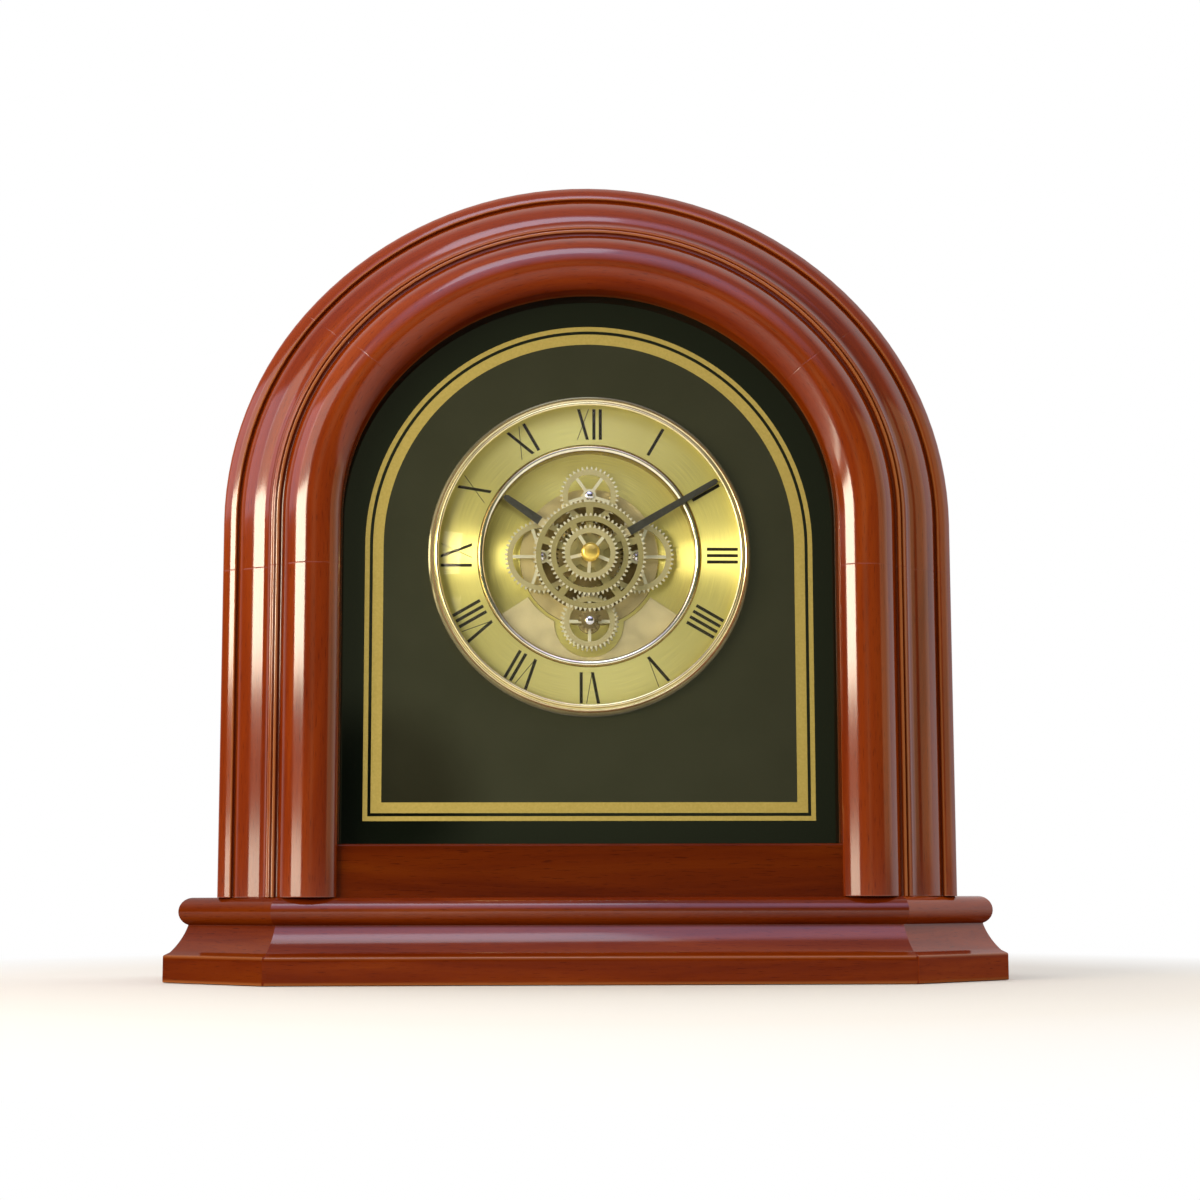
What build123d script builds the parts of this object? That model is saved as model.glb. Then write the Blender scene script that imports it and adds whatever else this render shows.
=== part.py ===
from build123d import *
import math
import os

# Sizes in millimetres. X runs to the right, Y to the back, Z up, and the clock stands on Z = 0.
# Overall size of the case
base_width = 284.0
base_depth = 112.0
base_height = 28.0
frame_top = 270.6
# Shares that shape the base
front_face_share = 0.74
frame_share = 0.866
plinth_share = 0.315
neck_share = 0.67
bullnose_share = 0.155
# Shares that shape the arch, which is drawn from three centres
arch_joint_angle = 40.0
shoulder_shift_share = 0.089
shoulder_straight = 16.55
moulding_width = 40.6
moulding_rise = 22.4
frame_setback = 26.0
frame_edge = 10.0
rebate_lip = 6.0
panel_recess = 9.0
panel_thickness = 3.0
# The round insert with its dial and its train
dial_height = 141.1
bezel_radius = 53.9
bezel_lip_radius = 50.2
bezel_rise = 5.2
bezel_swell = 0.4
ring_step_radius = 37.5
recess_depth = 6.1
tooth_module = 0.5
wheel_thickness = 0.8
time_in_minutes = 609.9
# Case behind the frame
hood_setback = 14.0
hood_inset = 4.0
hood_wall = 6.0
door_swing_gap = 0.6
# Fits
sliding_fit = 0.3
running_fit = 0.05
half_turn = 180.0

half_frame = frame_share * base_width / 2
outer_edge_y = frame_setback - base_depth / 2
frame_back_y = outer_edge_y + frame_edge
panel_front_y = outer_edge_y - panel_recess
hood_back_y = base_depth / 2 - hood_setback
shoulder_shift = shoulder_shift_share * half_frame
shoulder_radius = half_frame - shoulder_shift
joint_cos = math.cos(math.radians(arch_joint_angle))
joint_tan = math.tan(math.radians(arch_joint_angle))
crown_radius = shoulder_radius + shoulder_shift / joint_cos
crown_height = frame_top - crown_radius
shoulder_height = crown_height + shoulder_shift * joint_tan
stile_top = shoulder_height - shoulder_straight
panel_back_y = panel_front_y + panel_thickness


def placed_face(edges):
    """A face on the plane XY from edges that close."""
    return make_face(Wire(edges))


def chain(points):
    """Straight edges through points."""
    return [Line(a, b) for a, b in zip(points, points[1:])]


def bent(start, middle, end, steps):
    """Straight edges along the arc through three points."""
    arc = ThreePointArc(start, middle, end)
    places = [arc @ (step / steps) for step in range(steps + 1)]
    return chain([(place.X, place.Y) for place in places])


def slab(sketch, front_y, back_y):
    """Thickens a sketch, drawn as seen from the front, between two depths."""
    return Pos(0, back_y, 0) * extrude(Plane.XZ * sketch, amount=back_y - front_y)


def turned(sketch, height=dial_height):
    """Turns a half section, drawn as radius and depth, round the insert's axis."""
    axis = Axis((0, 0, height), (0, 1, 0))
    return revolve(Pos(0, 0, height) * sketch, axis=axis)


def ring(inner, outer, front_y, back_y, height=dial_height, across=0.0):
    """A flat ring or a tube about an axis that runs from front to back."""
    sketch = Circle(outer)
    if inner > 0:
        sketch = sketch - Circle(inner)
    return slab(Pos(across, height) * sketch, front_y, back_y)


def peg(radius, front_y, back_y, height=dial_height, across=0.0):
    return ring(0, radius, front_y, back_y, height, across)


def block(left, right, front, back, low, high):
    size = (right - left, back - front, high - low)
    centre = ((left + right) / 2, (front + back) / 2, (low + high) / 2)
    return Pos(*centre) * Box(*size)


def save(name, solid):
    export_step(solid, os.path.join("parts", name + ".step"))


# Moulded base
base_half = base_width / 2
base_front = -base_depth / 2
base_back = base_depth / 2
front_half = front_face_share * base_half
corner_cut = base_half - front_half
strip_width = 20.0
bullnose_radius = bullnose_share * base_height
neck_inset = 7.8
bullnose_inset = 4.6
plinth_height = plinth_share * base_height
neck_height = neck_share * base_height
slope_inset = 2.2
slope_rise = 1.1


def base_section():
    """Plinth, cove and bullnose, drawn as inset from the plinth's face and height."""
    top_start = bullnose_inset + bullnose_radius
    nose_height = base_height - bullnose_radius
    cove_foot = (slope_inset, plinth_height + slope_rise)
    neck = (neck_inset, neck_height)
    cove_middle = (
        slope_inset + 0.66 * (neck_inset - slope_inset),
        cove_foot[1] + 0.36 * (neck_height - cove_foot[1]),
    )
    nose_low = (neck_inset, neck_height + 0.2)
    edges = chain([(strip_width, 0), (0, 0), (0, plinth_height), cove_foot])
    edges.append(ThreePointArc(cove_foot, cove_middle, neck))
    edges += chain([neck, nose_low])
    edges.append(ThreePointArc(nose_low, (bullnose_inset, nose_height), (top_start, base_height)))
    edges += chain([(top_start, base_height), (strip_width, base_height), (strip_width, 0)])
    return placed_face(edges)


def base_strip(start, end, inner_end, inner_start):
    """A length of base moulding whose ends are mitred along the inner corners."""
    along = Vector(end[0] - start[0], end[1] - start[1], 0)
    inward = Vector(-along.Y, along.X, 0).normalized()
    centre = Vector((start[0] + end[0]) / 2, (start[1] + end[1]) / 2, 0)
    reach = along.length + 4 * strip_width
    section_plane = Plane(origin=centre, x_dir=inward, z_dir=along.normalized())
    flip = 1 if section_plane.y_dir.Z > 0 else -1
    section = base_section() if flip > 0 else mirror(base_section(), about=Plane.XZ)
    bar = extrude(section_plane * section, amount=reach / 2, both=True)
    plan = placed_face(chain([start, end, inner_end, inner_start, start]))
    return bar & extrude(plan, amount=base_height)


def base_parts():
    front_left = (-front_half, base_front)
    front_right = (front_half, base_front)
    side_front = base_front + corner_cut
    right_front = (base_half, side_front)
    right_back = (base_half, base_back)
    # Offset of a 135 degree corner along each of its faces
    creep = strip_width * math.tan(math.radians(22.5))
    in_front_left = (-front_half + creep, base_front + strip_width)
    in_front_right = (front_half - creep, base_front + strip_width)
    in_right_front = (base_half - strip_width, side_front + creep)
    in_right_back = (base_half - strip_width, base_back)
    front = base_strip(front_left, front_right, in_front_right, in_front_left)
    corner = base_strip(front_right, right_front, in_right_front, in_front_right)
    side = base_strip(right_front, right_back, in_right_back, in_right_front)
    save("base_front_moulding", front)
    save("base_right_corner_moulding", corner)
    save("base_left_corner_moulding", mirror(corner, about=Plane.YZ))
    save("base_right_side_moulding", side)
    save("base_left_side_moulding", mirror(side, about=Plane.YZ))
    inner_half = base_half - strip_width
    rail_front = base_back - strip_width
    save(
        "base_rear_rail",
        block(-inner_half, inner_half, rail_front, base_back, 0, base_height),
    )
    left_front = (-in_right_front[0], in_right_front[1])
    outline = [
        in_front_left,
        in_front_right,
        in_right_front,
        (inner_half, rail_front),
        (-inner_half, rail_front),
        left_front,
        in_front_left,
    ]
    board = extrude(placed_face(chain(outline)), amount=board_thickness)
    board = Pos(0, 0, base_height - board_thickness) * board
    for across in (-screw_across, screw_across):
        board = board - screw_hole(across, base_height - board_thickness, base_height)
    save("base_board", board)


# Screws that pull the frame and the base together from below
board_thickness = 12.0
screw_inset_share = 0.62
screw_across = half_frame - screw_inset_share * moulding_width
screw_y = outer_edge_y + 0.3 * frame_edge
screw_radius = 1.75
screw_head_radius = 3.5
screw_head_height = 2.4
screw_length = 34.0


def screw_hole(across, low, high):
    radius = screw_radius + running_fit
    return Pos(across, screw_y, (low + high) / 2) * Cylinder(radius, high - low)


def case_screws():
    group = []
    head_low = base_height - board_thickness - screw_head_height
    for across in (-screw_across, screw_across):
        head = Pos(across, screw_y, head_low + screw_head_height / 2)
        shank_height = head_low + screw_head_height + screw_length / 2
        shank = Pos(across, screw_y, shank_height)
        screw = head * Cylinder(screw_head_radius, screw_head_height)
        group.append(screw + shank * Cylinder(screw_radius, screw_length))
    save("case_screws", Compound(children=group))


# Moulding of the arch frame, from the outer edge towards the opening
ridge_width_share = 0.115
band_share = 0.35
cove_share = 0.43
bead_share = 0.5
torus_crest_share = 0.77
ridge_rise_share = 0.13
band_rise_share = 0.39
cove_rise_share = 0.66
bead_rise_share = 0.73
torus_foot_share = 0.68
torus_end_share = 0.8
groove_width = 1.3
groove_depth = 1.4
bead_groove = 0.7
torus_facets = 8


def frame_section():
    """The frame's section as offset from the outer edge and depth."""
    width = moulding_width
    rise = moulding_rise

    def at(offset_share, rise_share, shift=0.0):
        return (offset_share * width + shift, outer_edge_y - rise_share * rise)

    back_outer = (0, frame_back_y)
    edge = (0, outer_edge_y)
    ridge = at(ridge_width_share, ridge_rise_share)
    groove_floor = (ridge[0] + 0.3 * groove_width, ridge[1] + groove_depth)
    groove_far = (ridge[0] + groove_width, ridge[1] + 0.7 * groove_depth)
    band_start = (groove_far[0], ridge[1] - 0.2)
    band_end = at(band_share, band_rise_share)
    cove_end = at(cove_share, cove_rise_share)
    bead_start = at(cove_share, cove_rise_share, 0.3)
    bead_top = (bead_start[0] + bead_groove, bead_start[1] - 0.6)
    bead_dip = (bead_top[0] + bead_groove, bead_start[1] + 0.3)
    second_top = at(bead_share, bead_rise_share, -1.0)
    second_end = at(bead_share, bead_rise_share, -0.1)
    torus_dip = at(bead_share, torus_foot_share, 0.2)
    torus_start = at(bead_share, torus_foot_share, 0.9)
    torus_crest = at(torus_crest_share, 1.0)
    torus_end = at(1.0, torus_end_share)
    lip_back = (width, panel_front_y)
    rebate = (width - rebate_lip, panel_front_y)
    rebate_back = (width - rebate_lip, frame_back_y)
    facet_middle = (0.55 * ridge[0], edge[1] - 0.72 * (edge[1] - ridge[1]))
    band_middle = (
        (band_start[0] + band_end[0]) / 2,
        band_start[1] + 0.68 * (band_end[1] - band_start[1]),
    )
    cove_middle = (
        band_end[0] + 0.72 * (cove_end[0] - band_end[0]),
        band_end[1] + 0.32 * (cove_end[1] - band_end[1]),
    )
    edges = chain([back_outer, edge])
    edges += bent(edge, facet_middle, ridge, 2)
    edges += chain([ridge, groove_floor, groove_far, band_start])
    edges += bent(band_start, band_middle, band_end, 2)
    edges += bent(band_end, cove_middle, cove_end, 3)
    edges += chain([cove_end, bead_start, bead_top, bead_dip, second_top, second_end])
    edges += chain([second_end, torus_dip, torus_start])
    edges += bent(torus_start, torus_crest, torus_end, torus_facets)
    edges += chain([torus_end, lip_back, rebate, rebate_back, back_outer])
    return placed_face(edges)


def frame_bar(low, high):
    """A straight upright length of the frame on the right."""
    section = mirror(frame_section(), about=Plane.YZ)
    return Pos(half_frame, 0, low) * extrude(section, amount=high - low)


def frame_arc(radius, across, height, start, sweep):
    """A length of the frame turned about a centre of the arch."""
    section = mirror(frame_section(), about=Plane.YZ)
    axis = Axis((across, 0, height), (0, -1, 0))
    placed = (Pos(across + radius, 0, height) * section).rotate(axis, start)
    return revolve(placed, axis=axis, revolution_arc=sweep)


def frame_parts():
    stile = frame_bar(base_height, stile_top)
    stile = stile - screw_hole(screw_across, base_height, base_height + screw_length)
    save("frame_right_stile", stile)
    save("frame_left_stile", mirror(stile, about=Plane.YZ))
    shoulder = frame_bar(stile_top, shoulder_height) + frame_arc(
        shoulder_radius, shoulder_shift, shoulder_height, 0, arch_joint_angle
    )
    save("frame_arch_right", shoulder)
    save("frame_arch_left", mirror(shoulder, about=Plane.YZ))
    sweep = half_turn - 2 * arch_joint_angle
    save(
        "frame_arch_crown",
        frame_arc(crown_radius, 0, crown_height, arch_joint_angle, sweep),
    )


def arch_outline(inset, low):
    """Outline of the arch, shrunk by an inset, standing on a height."""
    half = half_frame - inset
    small = shoulder_radius - inset
    large = crown_radius - inset
    half_angle = math.radians(arch_joint_angle / 2)
    angle = math.radians(arch_joint_angle)
    join = (shoulder_shift + small * math.cos(angle), shoulder_height + small * math.sin(angle))
    bend = (
        shoulder_shift + small * math.cos(half_angle),
        shoulder_height + small * math.sin(half_angle),
    )
    spring = (half, shoulder_height)
    edges = chain([(-half, low), (half, low), spring])
    edges.append(ThreePointArc(spring, bend, join))
    edges.append(ThreePointArc(join, (0, crown_height + large), (-join[0], join[1])))
    edges.append(ThreePointArc((-join[0], join[1]), (-bend[0], bend[1]), (-half, shoulder_height)))
    edges += chain([(-half, shoulder_height), (-half, low)])
    return placed_face(edges)


# Lower rail, glass panel and the beads that hold the glass
rail_height = 17.2
rail_proud = 7.0
rail_front_y = panel_front_y - rail_proud
rail_round = 0.8
bead_size = 5.0
panel_inset = moulding_width - rebate_lip + sliding_fit
panel_low = base_height + rail_height - rebate_lip + sliding_fit
hole_radius = 49.7


def lower_rail():
    half = half_frame - moulding_width
    rebate_half = half + rebate_lip
    top = base_height + rail_height
    rail = block(-half, half, rail_front_y, panel_front_y, base_height, top)
    top_front = rail.edges().filter_by(Axis.X).sort_by(lambda e: e.center().Z - e.center().Y)
    rail = fillet(top_front[-1], rail_round)
    rail = rail + block(
        -rebate_half, rebate_half, panel_front_y, frame_back_y, base_height, top - rebate_lip
    )
    save("lower_rail", rail)


def glass_parts():
    outline = arch_outline(panel_inset, panel_low)
    hole = Pos(0, dial_height) * Circle(hole_radius)
    save("glass_panel", slab(outline - hole, panel_front_y, panel_back_y))
    bead_outer = arch_outline(panel_inset - sliding_fit, panel_low)
    bead_inner = arch_outline(panel_inset + bead_size, panel_low + bead_size)
    frame = slab(bead_outer - bead_inner, panel_back_y, panel_back_y + bead_size)
    save("panel_retaining_bead", frame)


# Bent hood, back board and back door
back_board_thickness = 6.0
back_board_y = hood_back_y - back_board_thickness
hood_inner_inset = hood_inset + hood_wall
door_half_width = 55.0
door_low = 62.0
door_high = 198.0
hinge_x = door_half_width + door_swing_gap
hinge_radius = 1.6
hinge_axis_y = hood_back_y + hinge_radius
hinge_pin_radius = 0.8
leaf_thickness = 1.0
leaf_reach = 9.0
knuckle_length = 6.0
knuckle_gap = 0.2
hinge_end_share = 0.16
hinge_end = hinge_end_share * (door_high - door_low)
hinge_heights = (door_low + hinge_end, door_high - hinge_end)
knob_radius = 5.0
knob_length = 9.0
knob_bevel = 1.2
door_knob_inset = 12.0
door_stem_radius = 2.0
magnet_radius = 4.0
magnet_length = 5.0
strike_thickness = 1.2


def case_back():
    floor = base_height
    hood = arch_outline(hood_inset, floor) - arch_outline(hood_inner_inset, floor)
    save("case_hood", slab(hood, frame_back_y, hood_back_y))
    board = arch_outline(hood_inner_inset, floor)
    opening_half = door_half_width + door_swing_gap
    opening = Pos(0, (door_low + door_high) / 2) * Rectangle(
        2 * opening_half, door_high - door_low + 2 * door_swing_gap
    )
    magnet_x = -opening_half - magnet_radius
    board = slab(board - opening, back_board_y, hood_back_y)
    save("back_board", board)
    door_middle = (door_low + door_high) / 2
    door = block(
        -door_half_width, door_half_width, back_board_y, hood_back_y, door_low, door_high
    )
    knob_x = -door_half_width + door_knob_inset
    stem = peg(door_stem_radius + running_fit, back_board_y, hood_back_y, door_middle, knob_x)
    save("back_door", door - stem)
    far = hood_back_y + knob_length
    knob = peg(knob_radius, hood_back_y + door_stem_radius, far, door_middle, knob_x)
    knob = chamfer(knob.edges(), knob_bevel)
    knob = knob + peg(door_stem_radius, back_board_y, far - knob_bevel, door_middle, knob_x)
    save("door_knob", knob)
    magnet_low = door_middle - 2 * magnet_radius
    magnet_high = door_middle + 2 * magnet_radius
    front = back_board_y - magnet_length - strike_thickness
    holder = block(
        magnet_x - magnet_radius, -opening_half + 2 * magnet_radius, front, front + magnet_length,
        magnet_low, magnet_high,
    )
    foot = block(
        magnet_x - magnet_radius, -opening_half, front + magnet_length, back_board_y,
        magnet_low, magnet_high,
    )
    save("door_magnet", holder + foot)
    strike_front = back_board_y - strike_thickness + 2 * running_fit
    strike_far = -door_half_width + 2 * magnet_radius - 1.0
    strike = block(
        -door_half_width, strike_far, strike_front, back_board_y, magnet_low, magnet_high
    )
    save("door_strike_plate", strike)


def knuckle(low, high):
    tube = Cylinder(hinge_radius, high - low) - Cylinder(hinge_pin_radius + running_fit, high - low)
    return Pos(hinge_x, hinge_axis_y, (low + high) / 2) * tube


def hinge_leaf(middle, side, knuckle_spans):
    """One leaf with its knuckles; side is 1 for the case and -1 for the door."""
    height = 3 * knuckle_length
    low = middle - height / 2
    clear = hinge_x + side * (hinge_radius + knuckle_gap)
    far = hinge_x + side * leaf_reach
    face_y = hood_back_y
    plate = block(
        min(clear, far), max(clear, far), face_y, face_y + leaf_thickness, low, low + height
    )
    hole = Cylinder(hinge_pin_radius + running_fit, height)
    hole = Pos(hinge_x, hinge_axis_y, middle) * hole
    for start, end in knuckle_spans:
        root = block(
            min(hinge_x, clear), max(hinge_x, clear), face_y, face_y + leaf_thickness,
            low + start, low + end,
        )
        plate = plate + (root + knuckle(low + start, low + end)) - hole
    return plate


def hinges():
    third = knuckle_length
    case_spans = [(0, third - knuckle_gap), (2 * third + knuckle_gap, 3 * third)]
    door_spans = [(third, 2 * third)]
    case_group = [hinge_leaf(height, 1, case_spans) for height in hinge_heights]
    door_group = [hinge_leaf(height, -1, door_spans) for height in hinge_heights]
    pin_group = [
        Pos(hinge_x, hinge_axis_y, height) * Cylinder(hinge_pin_radius, 3 * third)
        for height in hinge_heights
    ]
    save("door_hinge_case_leaves", Compound(children=case_group))
    save("door_hinge_door_leaves", Compound(children=door_group))
    save("door_hinge_pins", Compound(children=pin_group))


# Insert: cup, clamp ring, bezel, crystal and dial
ring_front_y = panel_front_y - 1.1
ring_thickness = 1.1
plate_front_y = ring_front_y + recess_depth
plate_thickness = 1.0
cup_wall = 1.0
cup_radius = hole_radius - sliding_fit
cup_floor_y = plate_front_y + plate_thickness
cup_back_y = cup_floor_y + 1.0
flange_radius = 52.6
flange_thickness = 0.6
crystal_thickness = 1.2
crystal_edge_radius = 51.6
crystal_rise = 7.3
dome_bands = 6
bezel_lip_thickness = 0.7
bush_radius = 3.9
clamp_width = 4.0
step_ring_width = 2.2
step_bevel = 0.6


def insert_shell():
    flange_front = panel_front_y - flange_thickness
    cup = ring(cup_radius - cup_wall, cup_radius, flange_front, cup_back_y)
    cup = cup + ring(cup_radius - cup_wall, flange_radius, flange_front, panel_front_y)
    cup = cup + ring(bush_radius + running_fit, cup_radius, cup_floor_y, cup_back_y)
    save("insert_cup", cup)
    clamp = ring(cup_radius, cup_radius + clamp_width, panel_back_y, panel_back_y + 2.5)
    save("clamp_ring", clamp)
    lip_front = panel_front_y - bezel_rise
    seat_y = lip_front + bezel_lip_thickness
    inner = crystal_edge_radius + 0.1
    edges = chain(
        [
            (flange_radius + 0.1, panel_front_y),
            (flange_radius + 0.1, flange_front),
            (inner, flange_front),
            (inner, seat_y),
            (bezel_lip_radius, seat_y),
            (bezel_lip_radius, lip_front),
            (bezel_lip_radius + 0.9, lip_front),
        ]
    )
    start = (bezel_lip_radius + 0.9, lip_front)
    end = (bezel_radius, panel_front_y - 0.9)
    middle = ((start[0] + end[0]) / 2 + bezel_swell, (start[1] + end[1]) / 2 - bezel_swell)
    edges += chain([start, middle, end])
    edges += chain([end, (bezel_radius, panel_front_y), (flange_radius + 0.1, panel_front_y)])
    save("bezel", turned(placed_face(edges)))


def crystal():
    edge_front = panel_front_y - bezel_rise + bezel_lip_thickness
    edge_back = edge_front + crystal_thickness
    rim = bezel_lip_radius - 0.2
    apex = edge_front - crystal_rise
    sphere = (rim**2 + crystal_rise**2) / (2 * crystal_rise)
    middle = rim / 2
    drop = sphere - math.sqrt(sphere**2 - middle**2)
    back_apex = apex + crystal_thickness
    edges = chain([(0, apex), (0, back_apex)])
    edges += bent((0, back_apex), (middle, back_apex + drop), (rim, edge_back), dome_bands)
    edges += chain(
        [(rim, edge_back), (crystal_edge_radius, edge_back), (crystal_edge_radius, edge_front)]
    )
    edges += chain([(crystal_edge_radius, edge_front), (rim, edge_front)])
    edges += bent((rim, edge_front), (middle, apex + drop), (0, apex), dome_bands)
    save("crystal", turned(placed_face(edges)))


def dial_parts():
    flange_front = panel_front_y - flange_thickness
    inside = cup_radius - cup_wall
    outer = crystal_edge_radius
    band = ring(ring_step_radius + running_fit, outer, ring_front_y, flange_front)
    band = band + ring(inside - 3.0, inside - running_fit, flange_front, panel_front_y)
    save("chapter_ring", band)
    step_inner = ring_step_radius - step_ring_width
    step = ring(step_inner, ring_step_radius, ring_front_y - 0.5, plate_front_y)
    lips = step.edges().filter_by(GeomType.CIRCLE).group_by(Axis.Y)[0]
    step = chamfer(lips, step_bevel)
    save("step_ring", step)
    plate = ring(bush_radius + running_fit, inside - running_fit, plate_front_y, cup_floor_y)
    save("dial_plate", plate)


# Bridge and sector plates on the dial plate
bridge_radius = 23.3
bridge_thickness = 0.8
sector_thickness = 0.6
sector_gap = 1.1
sector_half_angle = 57.0
scallop_radius = 11.6
nut_radius = 4.9
nut_thickness = 1.5
post_radius = 0.9
post_foot_radius = 1.9
screw_dome_radius = 1.6
screw_dome_height = 0.8
head_bevel = 0.45
sleeve_radius = 1.7


def plate_sketches():
    side = (side_wheel_teeth + hour_pinion_teeth) * tooth_module / 2
    top = (top_wheel_teeth + drive_wheel_teeth) * tooth_module / 2
    bottom = (hour_wheel_teeth + bottom_pinion_teeth) * tooth_module / 2
    return side, top, bottom


def dial_bridges():
    side, top, bottom = plate_sketches()
    disc = Circle(bridge_radius) + Pos(0, -bottom) * Circle(2 * post_foot_radius)
    disc = disc - Circle(nut_radius + 0.4)
    save("bridge_plate", slab(Pos(0, dial_height) * disc, bridge_front_y, plate_front_y))
    outer = ring_step_radius - step_ring_width - running_fit
    reach = 2 * outer
    angle = math.radians(sector_half_angle)
    corner = (reach * math.sin(angle), -reach * math.cos(angle))
    low = (corner[0], -reach)
    wedge = placed_face(
        chain([(0, 0), (-corner[0], corner[1]), (-low[0], low[1]), low, corner, (0, 0)])
    )
    sector = (Circle(outer) - Circle(bridge_radius + sector_gap)) & wedge
    sector = sector - Pos(0, -bottom) * Circle(scallop_radius)
    front = plate_front_y - sector_thickness
    save("sector_plate", slab(Pos(0, dial_height) * sector, front, plate_front_y))


# Toothed wheels
pressure_angle = 20.0
addendum_share = 0.8
dedendum_share = 1.25
backlash_share = 0.09
hour_wheel_teeth = 74
minute_wheel_teeth = 54
seconds_wheel_teeth = 36
side_wheel_teeth = 48
top_wheel_teeth = 38
bottom_wheel_teeth = 38
drive_wheel_teeth = 44
hour_pinion_teeth = 16
bottom_pinion_teeth = 14
fewest_plain_teeth = 20


def involute(angle):
    return math.tan(angle) - angle


def tooth_half_angle(teeth, radius):
    """Half of the angle that a tooth fills at a radius."""
    pitch_radius = teeth * tooth_module / 2
    base = pitch_radius * math.cos(math.radians(pressure_angle))
    here = math.acos(base / max(radius, base))
    half = math.pi / 2 / teeth * (1 - backlash_share)
    return half + involute(math.radians(pressure_angle)) - involute(here)


def toothed_disc(teeth, phase=0.0):
    """A toothed disc with one tooth centred on the angle given by the phase."""
    pitch_radius = teeth * tooth_module / 2
    tip = pitch_radius + addendum_share * tooth_module
    root = pitch_radius - dedendum_share * tooth_module
    radii = [root, tip] if teeth >= fewest_plain_teeth else [root, pitch_radius, tip]
    points = []
    for tooth in range(teeth):
        centre = math.radians(phase) + 2 * math.pi * tooth / teeth
        rising = [(r, centre - tooth_half_angle(teeth, r)) for r in radii]
        falling = [(r, centre + tooth_half_angle(teeth, r)) for r in reversed(radii)]
        for r, a in rising + falling:
            points.append((r * math.cos(a), r * math.sin(a)))
    return make_face(Polyline(*points, close=True))


def mesh_phase(teeth, phase, mate_teeth, direction):
    """Phase of a mate, in a direction from a wheel, whose gap meets the wheel's tooth."""
    pitch = 360 / teeth
    mate_pitch = 360 / mate_teeth
    share = ((direction - phase) % pitch) / pitch
    return direction + half_turn - mate_pitch * (0.5 - share)


def rim_radius(teeth):
    return teeth * tooth_module / 2 - rim_width


def windows(rim, hub, spokes, width, first):
    """Openings between the rim and the hub of a wheel, with spokes left."""
    opening = Circle(rim) - Circle(hub)
    for spoke in range(spokes):
        bar = Pos(rim / 2, 0) * Rectangle(rim + 2 * hub, width)
        bar = bar - Pos(-rim, 0) * Rectangle(2 * rim, 2 * rim)
        opening = opening - Rot(0, 0, first + 360 * spoke / spokes) * bar
    return opening


def wheel(disc, cut, bore, front_y, centre=(0, 0)):
    """Thickens a toothed disc with its windows and bore about a centre on the dial."""
    sketch = disc - cut if cut is not None else disc
    sketch = sketch - Circle(bore)
    placed = Pos(centre[0], dial_height + centre[1]) * sketch
    return slab(placed, front_y, front_y + wheel_thickness)


# Levels of the train, each the front of a wheel
bridge_front_y = plate_front_y - bridge_thickness
bush_front_y = plate_front_y - nut_thickness
side_wheel_y = bush_front_y - 1.2
drive_wheel_y = side_wheel_y - 1.5
hour_wheel_y = ring_front_y - 1.1
minute_wheel_y = hour_wheel_y - 1.5
seconds_wheel_y = minute_wheel_y - 3.3
hand_thickness = 0.35
hour_hand_width = 3.2
minute_hand_width = 2.9
hand_taper_share = 0.64
hand_nose_share = 0.55
hand_tip_gap = 0.5
rim_width = 2.3
hub_width = 2.3
spoke_width = 1.1
wide_spoke = 2.4
hub_cap_radius = 3.1
hub_cap_length = 2.9
cap_bevel = 0.8
seconds_arbor_radius = 0.6
minute_pipe_radius = 1.1
hour_pipe_radius = 2.0
pipe_start_y = cup_back_y + 1.5
minute_angle = time_in_minutes / 60 * 360 % 360
hour_angle = time_in_minutes / 720 * 360


def hand(angle, width, start, tip, front_y):
    """A tapered baton hand at an angle clockwise from twelve."""
    half = width / 2
    neck = hand_taper_share * half
    nose = hand_nose_share * neck
    shoulder = tip - neck
    outline = [
        (-half, start),
        (half, start),
        (neck, shoulder),
        (nose, tip),
        (-nose, tip),
        (-neck, shoulder),
        (-half, start),
    ]
    sketch = Rot(0, 0, -angle) * placed_face(chain(outline))
    placed = Pos(0, dial_height) * sketch
    return slab(placed, front_y, front_y + hand_thickness)


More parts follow.
